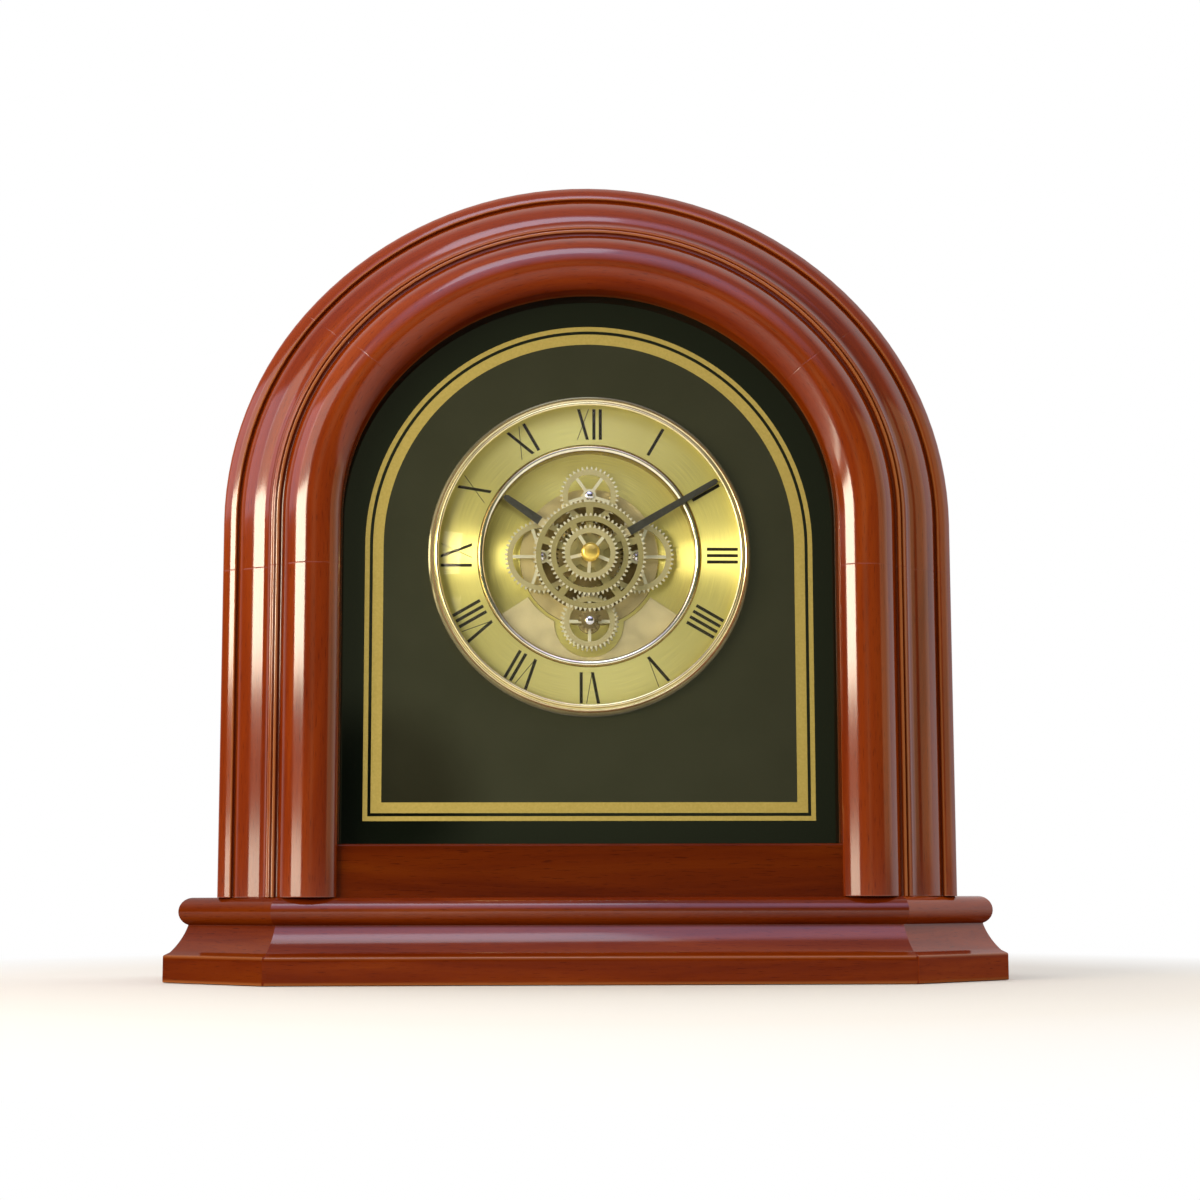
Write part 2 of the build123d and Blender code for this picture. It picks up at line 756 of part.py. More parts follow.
def motion_work():
    """Seconds, minute and hour wheels on their concentric arbor and pipes."""
    seconds_disc = toothed_disc(seconds_wheel_teeth)
    seconds_cut = windows(rim_radius(seconds_wheel_teeth), hub_width, 5, spoke_width, 50)
    save(
        "seconds_wheel",
        wheel(seconds_disc, seconds_cut, seconds_arbor_radius, seconds_wheel_y),
    )
    arbor_front = seconds_wheel_y - 1.0
    save("seconds_arbor", peg(seconds_arbor_radius, arbor_front, pipe_start_y))
    cap = peg(hub_cap_radius, seconds_wheel_y - hub_cap_length, seconds_wheel_y)
    cap = cap - peg(seconds_arbor_radius, arbor_front, seconds_wheel_y)
    front_edge = cap.edges().filter_by(GeomType.CIRCLE).group_by(Axis.Y)[0]
    save("hub_cap", chamfer(front_edge, cap_bevel))
    minute_bore = minute_pipe_radius
    minute_cut = windows(rim_radius(minute_wheel_teeth), 2 * hub_width, 4, wide_spoke, 30)
    minute_disc = toothed_disc(minute_wheel_teeth, 2.0)
    save("minute_wheel", wheel(minute_disc, minute_cut, minute_bore, minute_wheel_y))
    pipe_bore = seconds_arbor_radius + running_fit
    minute_pipe = ring(pipe_bore, minute_pipe_radius, minute_wheel_y - 1.2, pipe_start_y)
    save("minute_pipe", minute_pipe)
    hand_y = minute_wheel_y + wheel_thickness
    start = minute_wheel_teeth * tooth_module / 2 - rim_width
    tip = bezel_lip_radius - hand_tip_gap
    save("minute_hand", hand(minute_angle, minute_hand_width, start, tip, hand_y))
    hour_disc = toothed_disc(hour_wheel_teeth, 90.0)
    hour_cut = windows(rim_radius(hour_wheel_teeth), 3 * hub_width, 5, wide_spoke, 18)
    save("hour_wheel", wheel(hour_disc, hour_cut, hour_pipe_radius, hour_wheel_y))
    hour_bore = minute_pipe_radius + running_fit
    hour_pipe = ring(hour_bore, hour_pipe_radius, hour_wheel_y - 0.4, pipe_start_y)
    save("hour_pipe", hour_pipe)
    hand_y = hour_wheel_y + wheel_thickness
    start = hour_wheel_teeth * tooth_module / 2 - rim_width
    tip = ring_step_radius - step_ring_width - hand_tip_gap
    save("hour_hand", hand(hour_angle, hour_hand_width, start, tip, hand_y))
    pinion = wheel(toothed_disc(hour_pinion_teeth), None, hour_pipe_radius, side_wheel_y)
    save("hour_pinion", pinion)
    drive = wheel(toothed_disc(drive_wheel_teeth), None, hour_pipe_radius, drive_wheel_y)
    save("drive_wheel", drive)


def satellites():
    """Four wheels round the hour wheel on posts, each with a domed screw."""
    side, top, bottom = plate_sketches()
    bore = post_radius + running_fit
    places = {
        "right_satellite_wheel": ((side, 0), side_wheel_y, side_wheel_teeth, 5, 0),
        "left_satellite_wheel": ((-side, 0), side_wheel_y, side_wheel_teeth, 5, half_turn),
        "top_satellite_wheel": ((0, top), drive_wheel_y, top_wheel_teeth, 5, 54),
        "bottom_satellite_wheel": ((0, -bottom), side_wheel_y, bottom_wheel_teeth, 4, 0),
    }
    posts = []
    screws = []
    for name, (centre, level, teeth, spokes, first) in places.items():
        rim = rim_radius(teeth)
        direction = math.degrees(math.atan2(centre[1], centre[0]))
        phase = 0.0
        if "top" in name:
            phase = mesh_phase(drive_wheel_teeth, 0, teeth, direction)
        elif "bottom" not in name:
            phase = mesh_phase(hour_pinion_teeth, 0, teeth, direction)
        cut = windows(rim, hub_width, spokes, spoke_width, first)
        save(name, wheel(toothed_disc(teeth, phase), cut, bore, level, centre))
        height = dial_height + centre[1]
        foot_front = level + wheel_thickness + 0.1
        foot = peg(post_foot_radius, foot_front, bridge_front_y, height, centre[0])
        top_y = level - 0.1
        if "bottom" in name:
            top_y = hour_wheel_y - 0.1
        posts.append(foot + peg(post_radius, top_y, bridge_front_y, height, centre[0]))
        head = peg(screw_dome_radius, top_y - screw_dome_height, top_y, height, centre[0])
        front_edge = head.edges().filter_by(GeomType.CIRCLE).group_by(Axis.Y)[0]
        screws.append(chamfer(front_edge, head_bevel))
    save("satellite_posts", Compound(children=posts))
    save("satellite_screws", Compound(children=screws))
    phase = mesh_phase(hour_wheel_teeth, 90.0, bottom_pinion_teeth, -90)
    disc = toothed_disc(bottom_pinion_teeth, phase)
    pinion = wheel(disc, None, bore, hour_wheel_y, (0, -bottom))
    save("bottom_pinion", pinion)
    height = dial_height - bottom
    sleeve = ring(bore, sleeve_radius, hour_wheel_y + wheel_thickness, side_wheel_y, height)
    front_teeth = bottom_wheel_teeth - 2
    cut = windows(rim_radius(front_teeth), hub_width, 4, spoke_width, 0)
    level = side_wheel_y - 2 * wheel_thickness
    front_row = wheel(toothed_disc(front_teeth, 4.0), cut, sleeve_radius, level, (0, -bottom))
    save("bottom_sleeve", sleeve)
    save("bottom_front_wheel", front_row)


# Quartz movement behind the insert
movement_size = 56.0
movement_depth = 15.0
movement_round = 3.0
battery_radius = 7.1
battery_length = 50.0
battery_drop = 17.5
contact_room = 1.5
contact_half = 4.0
nub_radius = 2.7
nub_length = 1.2
setting_knob_radius = 6.0
knob_stem_radius = 1.5


def movement():
    front = cup_back_y
    back = front + movement_depth
    body = RectangleRounded(movement_size, movement_size, movement_round)
    housing = slab(Pos(0, dial_height) * body, front, back)
    battery_height = dial_height - battery_drop
    bay_half = battery_length / 2 + contact_room
    bay_radius = battery_radius + sliding_fit
    bay_low = battery_height - bay_radius
    bay_high = battery_height + bay_radius
    bay_front = back - 2 * battery_radius - 0.4
    bay = block(-bay_half, bay_half, bay_front, back, bay_low, bay_high)
    cavity = peg(hour_pipe_radius + 1.0, front, front + 6.0)
    stem_height = dial_height
    stem = peg(knob_stem_radius + running_fit, back - 4.0, back, stem_height)
    bush = ring(hour_pipe_radius + running_fit, bush_radius, bush_front_y, front)
    save("movement_housing", housing - bay - cavity - stem)
    save("movement_bush", bush)
    nut = RegularPolygon(nut_radius, 6) - Circle(bush_radius)
    save("mounting_nut", slab(Pos(0, dial_height) * nut, bush_front_y, plate_front_y))
    battery_y = bay_front + 0.1 + battery_radius
    turn = Rot(0, 90, 0)
    can = Cylinder(battery_radius, battery_length - nub_length)
    nub = Pos(0, 0, battery_length / 2) * Cylinder(nub_radius, nub_length)
    cell = Pos(-nub_length / 2, battery_y, battery_height) * turn * (can + nub)
    save("battery", cell)
    contacts = []
    for side in (-1, 1):
        inner = side * (battery_length / 2 + running_fit)
        outer = side * bay_half
        contacts.append(
            block(
                min(inner, outer), max(inner, outer),
                battery_y - contact_half, battery_y + contact_half,
                battery_height - contact_half, battery_height + contact_half,
            )
        )
    save("battery_contacts", Compound(children=contacts))
    knob = peg(setting_knob_radius, back + 0.5, back + 4.0, stem_height)
    knob = knob + peg(knob_stem_radius, back - 3.8, back + 0.5, stem_height)
    save("setting_knob", knob)


os.makedirs("parts", exist_ok=True)
base_parts()
case_screws()
frame_parts()
lower_rail()
glass_parts()
case_back()
hinges()
insert_shell()
crystal()
dial_parts()
dial_bridges()
motion_work()
satellites()
movement()
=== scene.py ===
import math

import bmesh
import bpy
from mathutils import Matrix, Vector


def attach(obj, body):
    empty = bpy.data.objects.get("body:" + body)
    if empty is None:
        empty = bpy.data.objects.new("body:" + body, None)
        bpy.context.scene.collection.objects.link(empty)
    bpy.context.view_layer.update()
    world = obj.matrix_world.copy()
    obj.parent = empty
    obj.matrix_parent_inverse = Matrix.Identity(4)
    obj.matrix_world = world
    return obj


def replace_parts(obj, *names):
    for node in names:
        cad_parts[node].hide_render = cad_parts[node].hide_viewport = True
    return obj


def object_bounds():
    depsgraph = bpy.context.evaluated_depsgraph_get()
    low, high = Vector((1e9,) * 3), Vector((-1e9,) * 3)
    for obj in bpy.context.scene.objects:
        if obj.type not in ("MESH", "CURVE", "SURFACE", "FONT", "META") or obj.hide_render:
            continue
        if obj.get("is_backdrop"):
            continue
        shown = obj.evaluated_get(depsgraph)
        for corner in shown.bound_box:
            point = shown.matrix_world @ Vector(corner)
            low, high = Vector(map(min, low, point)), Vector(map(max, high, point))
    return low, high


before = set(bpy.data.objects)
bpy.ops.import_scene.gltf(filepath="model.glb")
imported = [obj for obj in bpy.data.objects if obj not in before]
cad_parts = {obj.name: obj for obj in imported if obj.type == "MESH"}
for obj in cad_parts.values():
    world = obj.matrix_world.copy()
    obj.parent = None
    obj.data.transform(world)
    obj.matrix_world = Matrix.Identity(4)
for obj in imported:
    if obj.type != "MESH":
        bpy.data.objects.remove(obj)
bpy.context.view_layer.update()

MM = 0.001

# ---------------------------------------------------------------------------
# Studio: a pale table that turns into a white sweep. A tall window on the
# left lights it in three panes, with dim light beside it, a patch of sky
# above and a warm fill on the right. The camera stands low.
# ---------------------------------------------------------------------------
focal_pixels, photo_pixels, film_width = 2335.26, 1200, 36
camera_place = (-0.0245, -0.8113, 0.0269)
yaw, pitch, roll = 0.0362, 0.1278, -0.0023
looking = Vector((
    math.sin(yaw) * math.cos(pitch), math.cos(yaw) * math.cos(pitch), math.sin(pitch)
))
level = Vector((math.cos(yaw), -math.sin(yaw), 0.0))
upright = level.cross(looking)
across = level * math.cos(roll) + upright * math.sin(roll)
above = upright * math.cos(roll) - level * math.sin(roll)
camera_data = bpy.data.cameras.new("camera")
camera_data.lens = focal_pixels / photo_pixels * film_width
camera_data.sensor_width = film_width
camera_data.clip_start = 0.01
camera = bpy.data.objects.new("camera", camera_data)
bpy.context.scene.collection.objects.link(camera)
turn = Matrix((across, above, -looking)).transposed().to_4x4()
camera.matrix_world = Matrix.Translation(camera_place) @ turn
bpy.context.scene.camera = camera
bpy.context.scene.view_settings.view_transform = "Standard"


def lamp(name, place, target, size, watts, colour):
    """A soft rectangular lamp that faces a point of the clock."""
    data = bpy.data.lights.new(name, "AREA")
    data.shape = "RECTANGLE"
    data.size, data.size_y = size
    data.energy = watts
    data.color = colour
    body = bpy.data.objects.new(name, data)
    bpy.context.scene.collection.objects.link(body)
    body.location = place
    aim = Vector(target) - Vector(place)
    body.rotation_euler = aim.to_track_quat("-Z", "Y").to_euler()


lamp("window", (-0.96, -0.9, 0.335), (0, 0, 0.14), (0.78, 0.24), 10.5, (1.0, 0.9, 0.7))
lamp("window_head", (-0.96, -0.9, 0.72), (0, 0, 0.2), (0.78, 0.5), 2.4, (1.0, 0.88, 0.8))
lamp("sky_above", (-0.14, -0.66, 1.05), (0, 0, 0.14), (0.46, 0.34), 1.7, (0.52, 0.68, 0.78))
lamp("window_foot", (-0.96, -0.9, 0.045), (0, 0, 0.06), (0.78, 0.08), 1.5, (1.0, 0.9, 0.7))
lamp("side_left", (-1.33, -0.28, 0.68), (0, 0, 0.2), (0.85, 0.6), 2.3, (0.95, 0.8, 1.0))
lamp("fill_right", (1.28, -0.5, 0.45), (0, 0, 0.14), (0.8, 0.8), 1.6, (1.0, 0.72, 0.36))


def put(tree, kind, inputs=None, **settings):
    """Adds a node, sets its options, and sets or links its inputs."""
    node = tree.nodes.new(kind)
    for option, value in settings.items():
        setattr(node, option, value)
    for socket, value in (inputs or {}).items():
        if isinstance(value, bpy.types.NodeSocket):
            tree.links.new(value, node.inputs[socket])
        else:
            node.inputs[socket].default_value = value
    return node


def feed(node, **sources):
    """Links sockets to a node's inputs, whose names are given with _ for spaces."""
    for name, source in sources.items():
        node.id_data.links.new(source, node.inputs[name.replace("_", " ")])


def calculate(tree, operation, *values):
    """The result of a Math node on sockets and numbers."""
    return put(tree, "ShaderNodeMath", dict(enumerate(values)), operation=operation).outputs[0]


def vector_math(tree, operation, *values):
    """The result of a Vector Math node on sockets and vectors."""
    node = put(tree, "ShaderNodeVectorMath", dict(enumerate(values)), operation=operation)
    return node.outputs["Value" if operation == "LENGTH" else "Vector"]


def split(tree, vector):
    """The outputs of a node that takes a vector apart."""
    return put(tree, "ShaderNodeSeparateXYZ", {"Vector": vector}).outputs


def spread(tree, value, low=0.0, high=1.0, first=0.0, last=1.0):
    """Maps low..high to first..last, clamped."""
    ends = {"From Min": low, "From Max": high, "To Min": first, "To Max": last}
    return put(tree, "ShaderNodeMapRange", {"Value": value, **ends}).outputs["Result"]


def ramp(tree, factor, *stops):
    """A colour ramp whose stops are (position, (r, g, b))."""
    node = put(tree, "ShaderNodeValToRGB", {"Fac": factor})
    marks = node.color_ramp.elements
    while len(marks) < len(stops):
        marks.new(0.5)
    for mark, (place, colour) in zip(marks, stops):
        mark.position = place
        mark.color = (*colour, 1)
    return node.outputs["Color"]


def mix(tree, factor, a, b, blend="MIX"):
    """Mixes two colours, each given as a socket or as (r, g, b)."""
    node = put(tree, "ShaderNodeMix", data_type="RGBA", blend_type=blend)
    factor_input, a_input, b_input = 0, 6, 7
    for place, value in ((factor_input, factor), (a_input, a), (b_input, b)):
        if isinstance(value, bpy.types.NodeSocket):
            tree.links.new(value, node.inputs[place])
        else:
            node.inputs[place].default_value = (*value, 1)
    return node.outputs[2]


def either(tree, share, first, second):
    """Mixes two shaders by a share of the second."""
    return put(tree, "ShaderNodeMixShader", {0: share, 1: first, 2: second}).outputs[0]


# What the clock mirrors: a dim room with a lighter wall, a dark patch low
# down, sky high up and white behind. Diffuse light meets an even grey, and
# the camera sees white.
world = bpy.data.worlds.new("room")
bpy.context.scene.world = world
world.use_nodes = True
room = world.node_tree
room.nodes.clear()
direction = split(room, put(room, "ShaderNodeTexCoord").outputs["Generated"])
ahead = calculate(room, "MAXIMUM", calculate(room, "MULTIPLY", direction["Y"], -1.0), 0.3)
facing = put(room, "ShaderNodeCombineXYZ", {
    "X": calculate(room, "DIVIDE", direction["X"], ahead),
    "Y": calculate(room, "DIVIDE", direction["Z"], ahead),
}).outputs[0]


def patch(centre, reach, full):
    """A soft oval of the room in front of the clock: 0 at its rim, 1 from the share full."""
    moved = vector_math(room, "SUBTRACT", facing, (*centre, 0))
    sized = vector_math(room, "MULTIPLY", moved, (1 / reach[0], 1 / reach[1], 0))
    oval = put(room, "ShaderNodeTexGradient", {"Vector": sized}, gradient_type="SPHERICAL")
    return ramp(room, oval.outputs["Fac"], (0.0, (0, 0, 0)), (full, (1, 1, 1)))


bright_wall = patch((0.01, 0.11), (0.22, 0.24), 0.75)
dark_patch = patch((-0.06, 0.046), (0.052, 0.045), 0.45)
skylight = patch((0.0, 1.25), (0.95, 0.95), 0.6)
overhead = spread(room, direction["Z"], 0.35, 0.95)
rightward = calculate(room, "MULTIPLY_ADD", direction["X"], 0.25, direction["Y"])
behind = spread(room, rightward, -0.1, 0.25)
path = put(room, "ShaderNodeLightPath").outputs
mirrored = mix(room, bright_wall, (0.05, 0.05, 0.035), (0.27, 0.29, 0.16))
mirrored = mix(room, dark_patch, mirrored, (0.015, 0.02, 0.015))
mirrored = mix(room, overhead, mirrored, (0.26, 0.28, 0.36))
mirrored = mix(room, skylight, mirrored, (1.35, 1.25, 2.0))
mirrored = mix(room, path["Is Diffuse Ray"], mirrored, (0.58, 0.56, 0.54))
mirrored = mix(room, behind, mirrored, (1, 1, 1))
around = put(room, "ShaderNodeBackground", {"Color": mirrored, "Strength": 1.0}).outputs[0]
white = put(room, "ShaderNodeBackground", {"Color": (1, 1, 1, 1), "Strength": 1.0}).outputs[0]
seen = either(room, path["Is Camera Ray"], around, white)
put(room, "ShaderNodeOutputWorld", {"Surface": seen})


def new_object(name, mesh, material, body="case", smooth=35.0):
    """Places a mesh with its finish, and lets it ride on a body."""
    mesh.materials.append(material)
    for face in mesh.polygons:
        face.use_smooth = True
    mesh.set_sharp_from_angle(angle=math.radians(smooth))
    thing = bpy.data.objects.new(name, mesh)
    bpy.context.scene.collection.objects.link(thing)
    if body:
        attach(thing, body)
    return thing


def mesh_of(builder, name, turn_out=True):
    """The mesh of a finished bmesh; its faces are turned outwards if asked."""
    if turn_out:
        bmesh.ops.recalc_face_normals(builder, faces=builder.faces)
    mesh = bpy.data.meshes.new(name)
    builder.to_mesh(mesh)
    builder.free()
    return mesh


def principled(name, colour=(0.8, 0.8, 0.8), **sockets):
    """A material with a Principled shader; returns it, its tree and its shader."""
    material = bpy.data.materials.new(name)
    material.use_nodes = True
    tree = material.node_tree
    shader = tree.nodes["Principled BSDF"]
    shader.inputs["Base Color"].default_value = (*colour, 1)
    for socket, value in sockets.items():
        shader.inputs[socket.replace("_", " ")].default_value = value
    return material, tree, shader


def own_place(tree):
    """Coordinates in the object's own space, in metres."""
    return put(tree, "ShaderNodeTexCoord").outputs["Object"]


# The table turns into the white sweep away from the clock and keeps its shadow near it
table_paint, tree, shader = principled(
    "white_table", (0.9, 0.9, 0.9), Roughness=1.0, Specular_IOR_Level=0.0
)
path = put(tree, "ShaderNodeLightPath").outputs
paint = mix(tree, path["Is Diffuse Ray"], (0.92, 0.89, 0.84), (0.3, 0.28, 0.25))
feed(shader, Base_Color=paint)
away = vector_math(tree, "LENGTH", vector_math(tree, "MULTIPLY", own_place(tree), (3.6, 2.6, 0)))
shown = calculate(tree, "MULTIPLY", path["Is Camera Ray"], spread(tree, away, 0.75, 1.3))
sweep = put(tree, "ShaderNodeEmission", {"Color": (1, 1, 1, 1), "Strength": 1.0}).outputs[0]
feed(tree.nodes["Material Output"], Surface=either(tree, shown, shader.outputs[0], sweep))
builder = bmesh.new()
for x, y in ((-4, -3), (4, -3), (4, 5), (-4, 5)):
    builder.verts.new((x, y, -0.0002))
builder.faces.new(builder.verts)
table_mesh = mesh_of(builder, "table_top", turn_out=False)
new_object("table_top", table_mesh, table_paint, body=None)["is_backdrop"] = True

# ---------------------------------------------------------------------------
# Moulded base, of mahogany-stained hardwood under a satin lacquer: plinth,
# cove and bullnose run on five lengths, mitred at the canted corners. The
# stain gathers in the hollows, the ridges are lighter, partly thinned stain
# and partly painted highlight, and the grain runs along each length. A plain
# rail joins the side lengths at the rear.
# ---------------------------------------------------------------------------


def new_group(name, inputs, outputs):
    """An empty node group with named sockets; returns it and its two ends."""
    group = bpy.data.node_groups.new(name, "ShaderNodeTree")
    for socket, kind in inputs:
        group.interface.new_socket(name=socket, in_out="INPUT", socket_type=kind)
    for socket, kind in outputs:
        group.interface.new_socket(name=socket, in_out="OUTPUT", socket_type=kind)
    source, result = group.nodes.new("NodeGroupInput"), group.nodes.new("NodeGroupOutput")
    return group, source.outputs, result


def noise(tree, vector, scale, detail=2.0, **more):
    """The value of a noise texture."""
    inputs = {"Vector": vector, "Scale": scale, "Detail": detail, **more}
    return put(tree, "ShaderNodeTexNoise", inputs).outputs["Fac"]


FLOAT, VECTOR = "NodeSocketFloat", "NodeSocketVector"
grain, source, result = new_group(
    "long_grain",
    [("Vector", VECTOR), ("Figure Size", FLOAT)],
    [("Figure", FLOAT), ("Pores", FLOAT), ("Height", FLOAT)],
)
stretched = vector_math(grain, "MULTIPLY", source["Vector"], (9, 120, 120))
sized = put(
    grain, "ShaderNodeVectorMath", {0: stretched, "Scale": source["Figure Size"]}, operation="SCALE"
).outputs[0]
vessels = vector_math(grain, "MULTIPLY", source["Vector"], (180, 3200, 3200))
pores = spread(grain, noise(grain, vessels, 1.0), 0.6, 0.72)
peel = noise(grain, source["Vector"], 160.0, 1.0)
feed(
    result,
    Figure=noise(grain, sized, 1.0, 5.0, Roughness=0.6, Distortion=0.6),
    Pores=pores,
    Height=calculate(grain, "MULTIPLY_ADD", pores, -0.25, peel),
)


def tinted(colour, share):
    """A colour times a share, kept within 1."""
    return tuple(min(1.0, share * c) for c in colour)


def mahogany(name, axis=None, figure_size=1.0, tone=1.0, gloss=1.0, plinth=0.0):
    """Stained hardwood; the grain follows the UV map, or an axis of the object.

    The lacquer is thin on faces that look down, and below the height plinth, in metres.
    """
    material, tree, shader = principled(
        name, Roughness=0.4, Coat_Roughness=0.11, Coat_IOR=1.65, Specular_IOR_Level=0.0
    )
    upward = split(tree, put(tree, "ShaderNodeNewGeometry").outputs["Normal"])["Z"]
    lacquer = spread(tree, upward, -0.5, -0.04, 0.1 * gloss, gloss)
    if plinth:
        height = split(tree, own_place(tree))["Z"]
        rubbed = spread(tree, height, plinth - 0.0006, plinth, 0.15)
        lacquer = calculate(tree, "MULTIPLY", lacquer, rubbed)
    if axis is None:
        place = put(tree, "ShaderNodeUVMap", uv_map="along").outputs["UV"]
    else:
        quarter = math.pi / 2
        turns = {"X": (0, 0, 0), "Y": (0, 0, -quarter), "Z": (0, quarter, 0)}
        turned = {"Vector": own_place(tree), "Rotation": turns[axis]}
        place = put(tree, "ShaderNodeMapping", turned).outputs["Vector"]
    wood = put(
        tree, "ShaderNodeGroup", {"Vector": place, "Figure Size": figure_size}, node_tree=grain
    ).outputs
    dark, middle, light = (0.14, 0.0135, 0.0007), (0.21, 0.026, 0.001), (0.27, 0.042, 0.0016)
    gathered_stain_and_shade, thinned_stain_and_highlight = (0.08, 0.008, 0.0008), (0.45, 0.16, 0.045)
    stain = ramp(
        tree,
        wood["Figure"],
        (0.3, tinted(dark, tone)),
        (0.5, tinted(middle, tone)),
        (0.7, tinted(light, tone)),
    )
    stain = mix(tree, wood["Pores"], stain, (0.5, 0.4, 0.36), "MULTIPLY")
    relief = put(
        tree, "ShaderNodeAttribute", attribute_name="relief", attribute_type="GEOMETRY"
    ).outputs["Fac"]
    # Stain gathers where the relief is high, which on the frame roll's inner flank is painted
    # shade; ridges are lightened, partly thinned stain and partly painted highlight
    stain = mix(tree, spread(tree, relief, 0.05, 0.75, 0.0, 0.6), stain, gathered_stain_and_shade)
    stain = mix(tree, spread(tree, relief, -0.2, -0.7, 0.0, 0.75), stain, thinned_stain_and_highlight)
    bump = put(
        tree, "ShaderNodeBump", {"Height": wood["Height"], "Strength": 0.05, "Distance": 0.001}
    )
    feed(shader, Coat_Weight=lacquer, Base_Color=stain, Normal=bump.outputs[0])
    return material


def arc(a, m, b, steps):
    """Points along the circle through three points, ends included."""
    (ax, ay), (bx, by), (cx, cy) = a, m, b
    d = 2 * (ax * (by - cy) + bx * (cy - ay) + cx * (ay - by))
    a2, b2, c2 = ax**2 + ay**2, bx**2 + by**2, cx**2 + cy**2
    ux = (a2 * (by - cy) + b2 * (cy - ay) + c2 * (ay - by)) / d
    uy = (a2 * (cx - bx) + b2 * (ax - cx) + c2 * (bx - ax)) / d
    radius = math.hypot(ax - ux, ay - uy)
    first = math.atan2(ay - uy, ax - ux)
    middle = (math.atan2(by - uy, bx - ux) - first) % math.tau
    last = (math.atan2(cy - uy, cx - ux) - first) % math.tau
    sweep = last if middle < last else last - math.tau
    angles = [first + sweep * i / steps for i in range(steps + 1)]
    return [(ux + radius * math.cos(angle), uy + radius * math.sin(angle)) for angle in angles]


def eased(points, radius):
    """Rounds the corners of a closed outline a little, as sanding and lacquer do."""
    least_bend, most_of_a_side = math.radians(22), 0.45
    outline = []
    count = len(points)
    for i, here in enumerate(points):
        here = Vector(here)
        before = Vector(points[i - 1]) - here
        after = Vector(points[(i + 1) % count]) - here
        if math.pi - before.angle(after) < least_bend:
            outline.append(here)
            continue
        cut = min(radius, most_of_a_side * before.length, most_of_a_side * after.length)
        start = here + before.normalized() * cut
        end = here + after.normalized() * cut
        outline += [start, (start + end) / 4 + here / 2, end]
    return outline


def relief_of(outline, reach):
    """How far each point of an outline lies under its neighbours: 1 is a groove, -1 a ridge."""
    count = len(outline)
    following = [*outline[1:], outline[0]]
    steps = [(there - here).length for here, there in zip(outline, following)]
    total = sum(steps)
    starts = [sum(steps[:i]) for i in range(count)]
    area = sum(here.x * there.y - there.x * here.y for here, there in zip(outline, following))
    side = 1 if area > 0 else -1

    def at(distance):
        distance %= total
        for i in range(count):
            if distance <= starts[i] + steps[i]:
                return outline[i].lerp(following[i], (distance - starts[i]) / max(steps[i], 1e-9))
        return outline[0]

    values = []
    for i in range(count):
        low = at(starts[i] - reach)
        high = at(starts[i] + reach)
        chord = high - low
        outward = Vector((chord.y, -chord.x)).normalized() * side
        values.append(((low + high) / 2 - outline[i]).dot(outward) / reach)
    return values


def swept(name, outline, rings, relief):
    """Skins a closed outline through rings of (points, distances along), with flat ends."""
    builder = bmesh.new()
    count = len(outline)
    around = [0.0]
    for i in range(count):
        around.append(around[-1] + (outline[(i + 1) % count] - outline[i]).length)
    uv = builder.loops.layers.uv.new("along")
    mark = builder.verts.layers.float.new("relief")
    rows = [[builder.verts.new(point) for point in points] for points, _ in rings]
    for row in rows[1:-1]:
        for vert, value in zip(row, relief):
            vert[mark] = value
    for r in range(len(rings) - 1):
        for i in range(count):
            j = (i + 1) % count
            corners = [(r, i, i), (r, j, i + 1), (r + 1, j, i + 1), (r + 1, i, i)]
            face = builder.faces.new([rows[a][b] for a, b, _ in corners])
            for loop, (a, b, c) in zip(face.loops, corners):
                loop[uv].uv = (rings[a][1][b], around[c] * MM)
    end_grain = 0.1
    for row, (_, distances) in ((rows[0], rings[0]), (rows[-1], rings[-1])):
        face = builder.faces.new(row)
        for loop, point in zip(face.loops, outline):
            loop[uv].uv = (distances[0] + point[0] * MM * end_grain, point[1] * MM)
    return mesh_of(builder, name)


def stations(low, high, steps, near):
    """Even places from low to high, with two more near each end that keep its shading flat."""
    between = [low + (high - low) * i / steps for i in range(1, steps)]
    first, second = near
    return [low, low + first, low + second, *between, high - second, high - first, high]


plinth_top, base_height, moulding_width = 8.82, 28.0, 20.0
front_half, base_half, half_depth, cant = 105.08, 142.0, 56.0, 36.92
half_mitre = math.radians(22.5)
creep = moulding_width * math.tan(half_mitre)
wear_height = 0.0088
base_finish = mahogany("mahogany_base", tone=0.8, gloss=0.85, plinth=wear_height)
# Painted shade and light: the left corner lengths, facing the window, are stained darker, and the
# right ones, on the dim side, stained lighter
corner_finish_shaded_and_lit = {
    "left": mahogany("mahogany_left_corner", tone=0.62, gloss=0.3, plinth=wear_height),
    "right": mahogany("mahogany_right_corner", tone=1.25, gloss=0.7, plinth=wear_height),
}
base_nose = arc((7.8, 18.96), (4.6, 23.66), (8.94, base_height), 14)
base_cove = arc((2.2, 9.92), (5.55, 14.05), (7.8, 18.76), 12)
plinth_face = [(0.0, 0.0), (0.0, 1.6), (0.0, 7.4), (0.0, plinth_top)]
inner_face = [(moulding_width, base_height), (moulding_width, 0.0)]
base_outline = eased([*plinth_face, *base_cove, *base_nose, *inner_face], radius=0.35)
base_relief = relief_of(base_outline, reach=1.3)


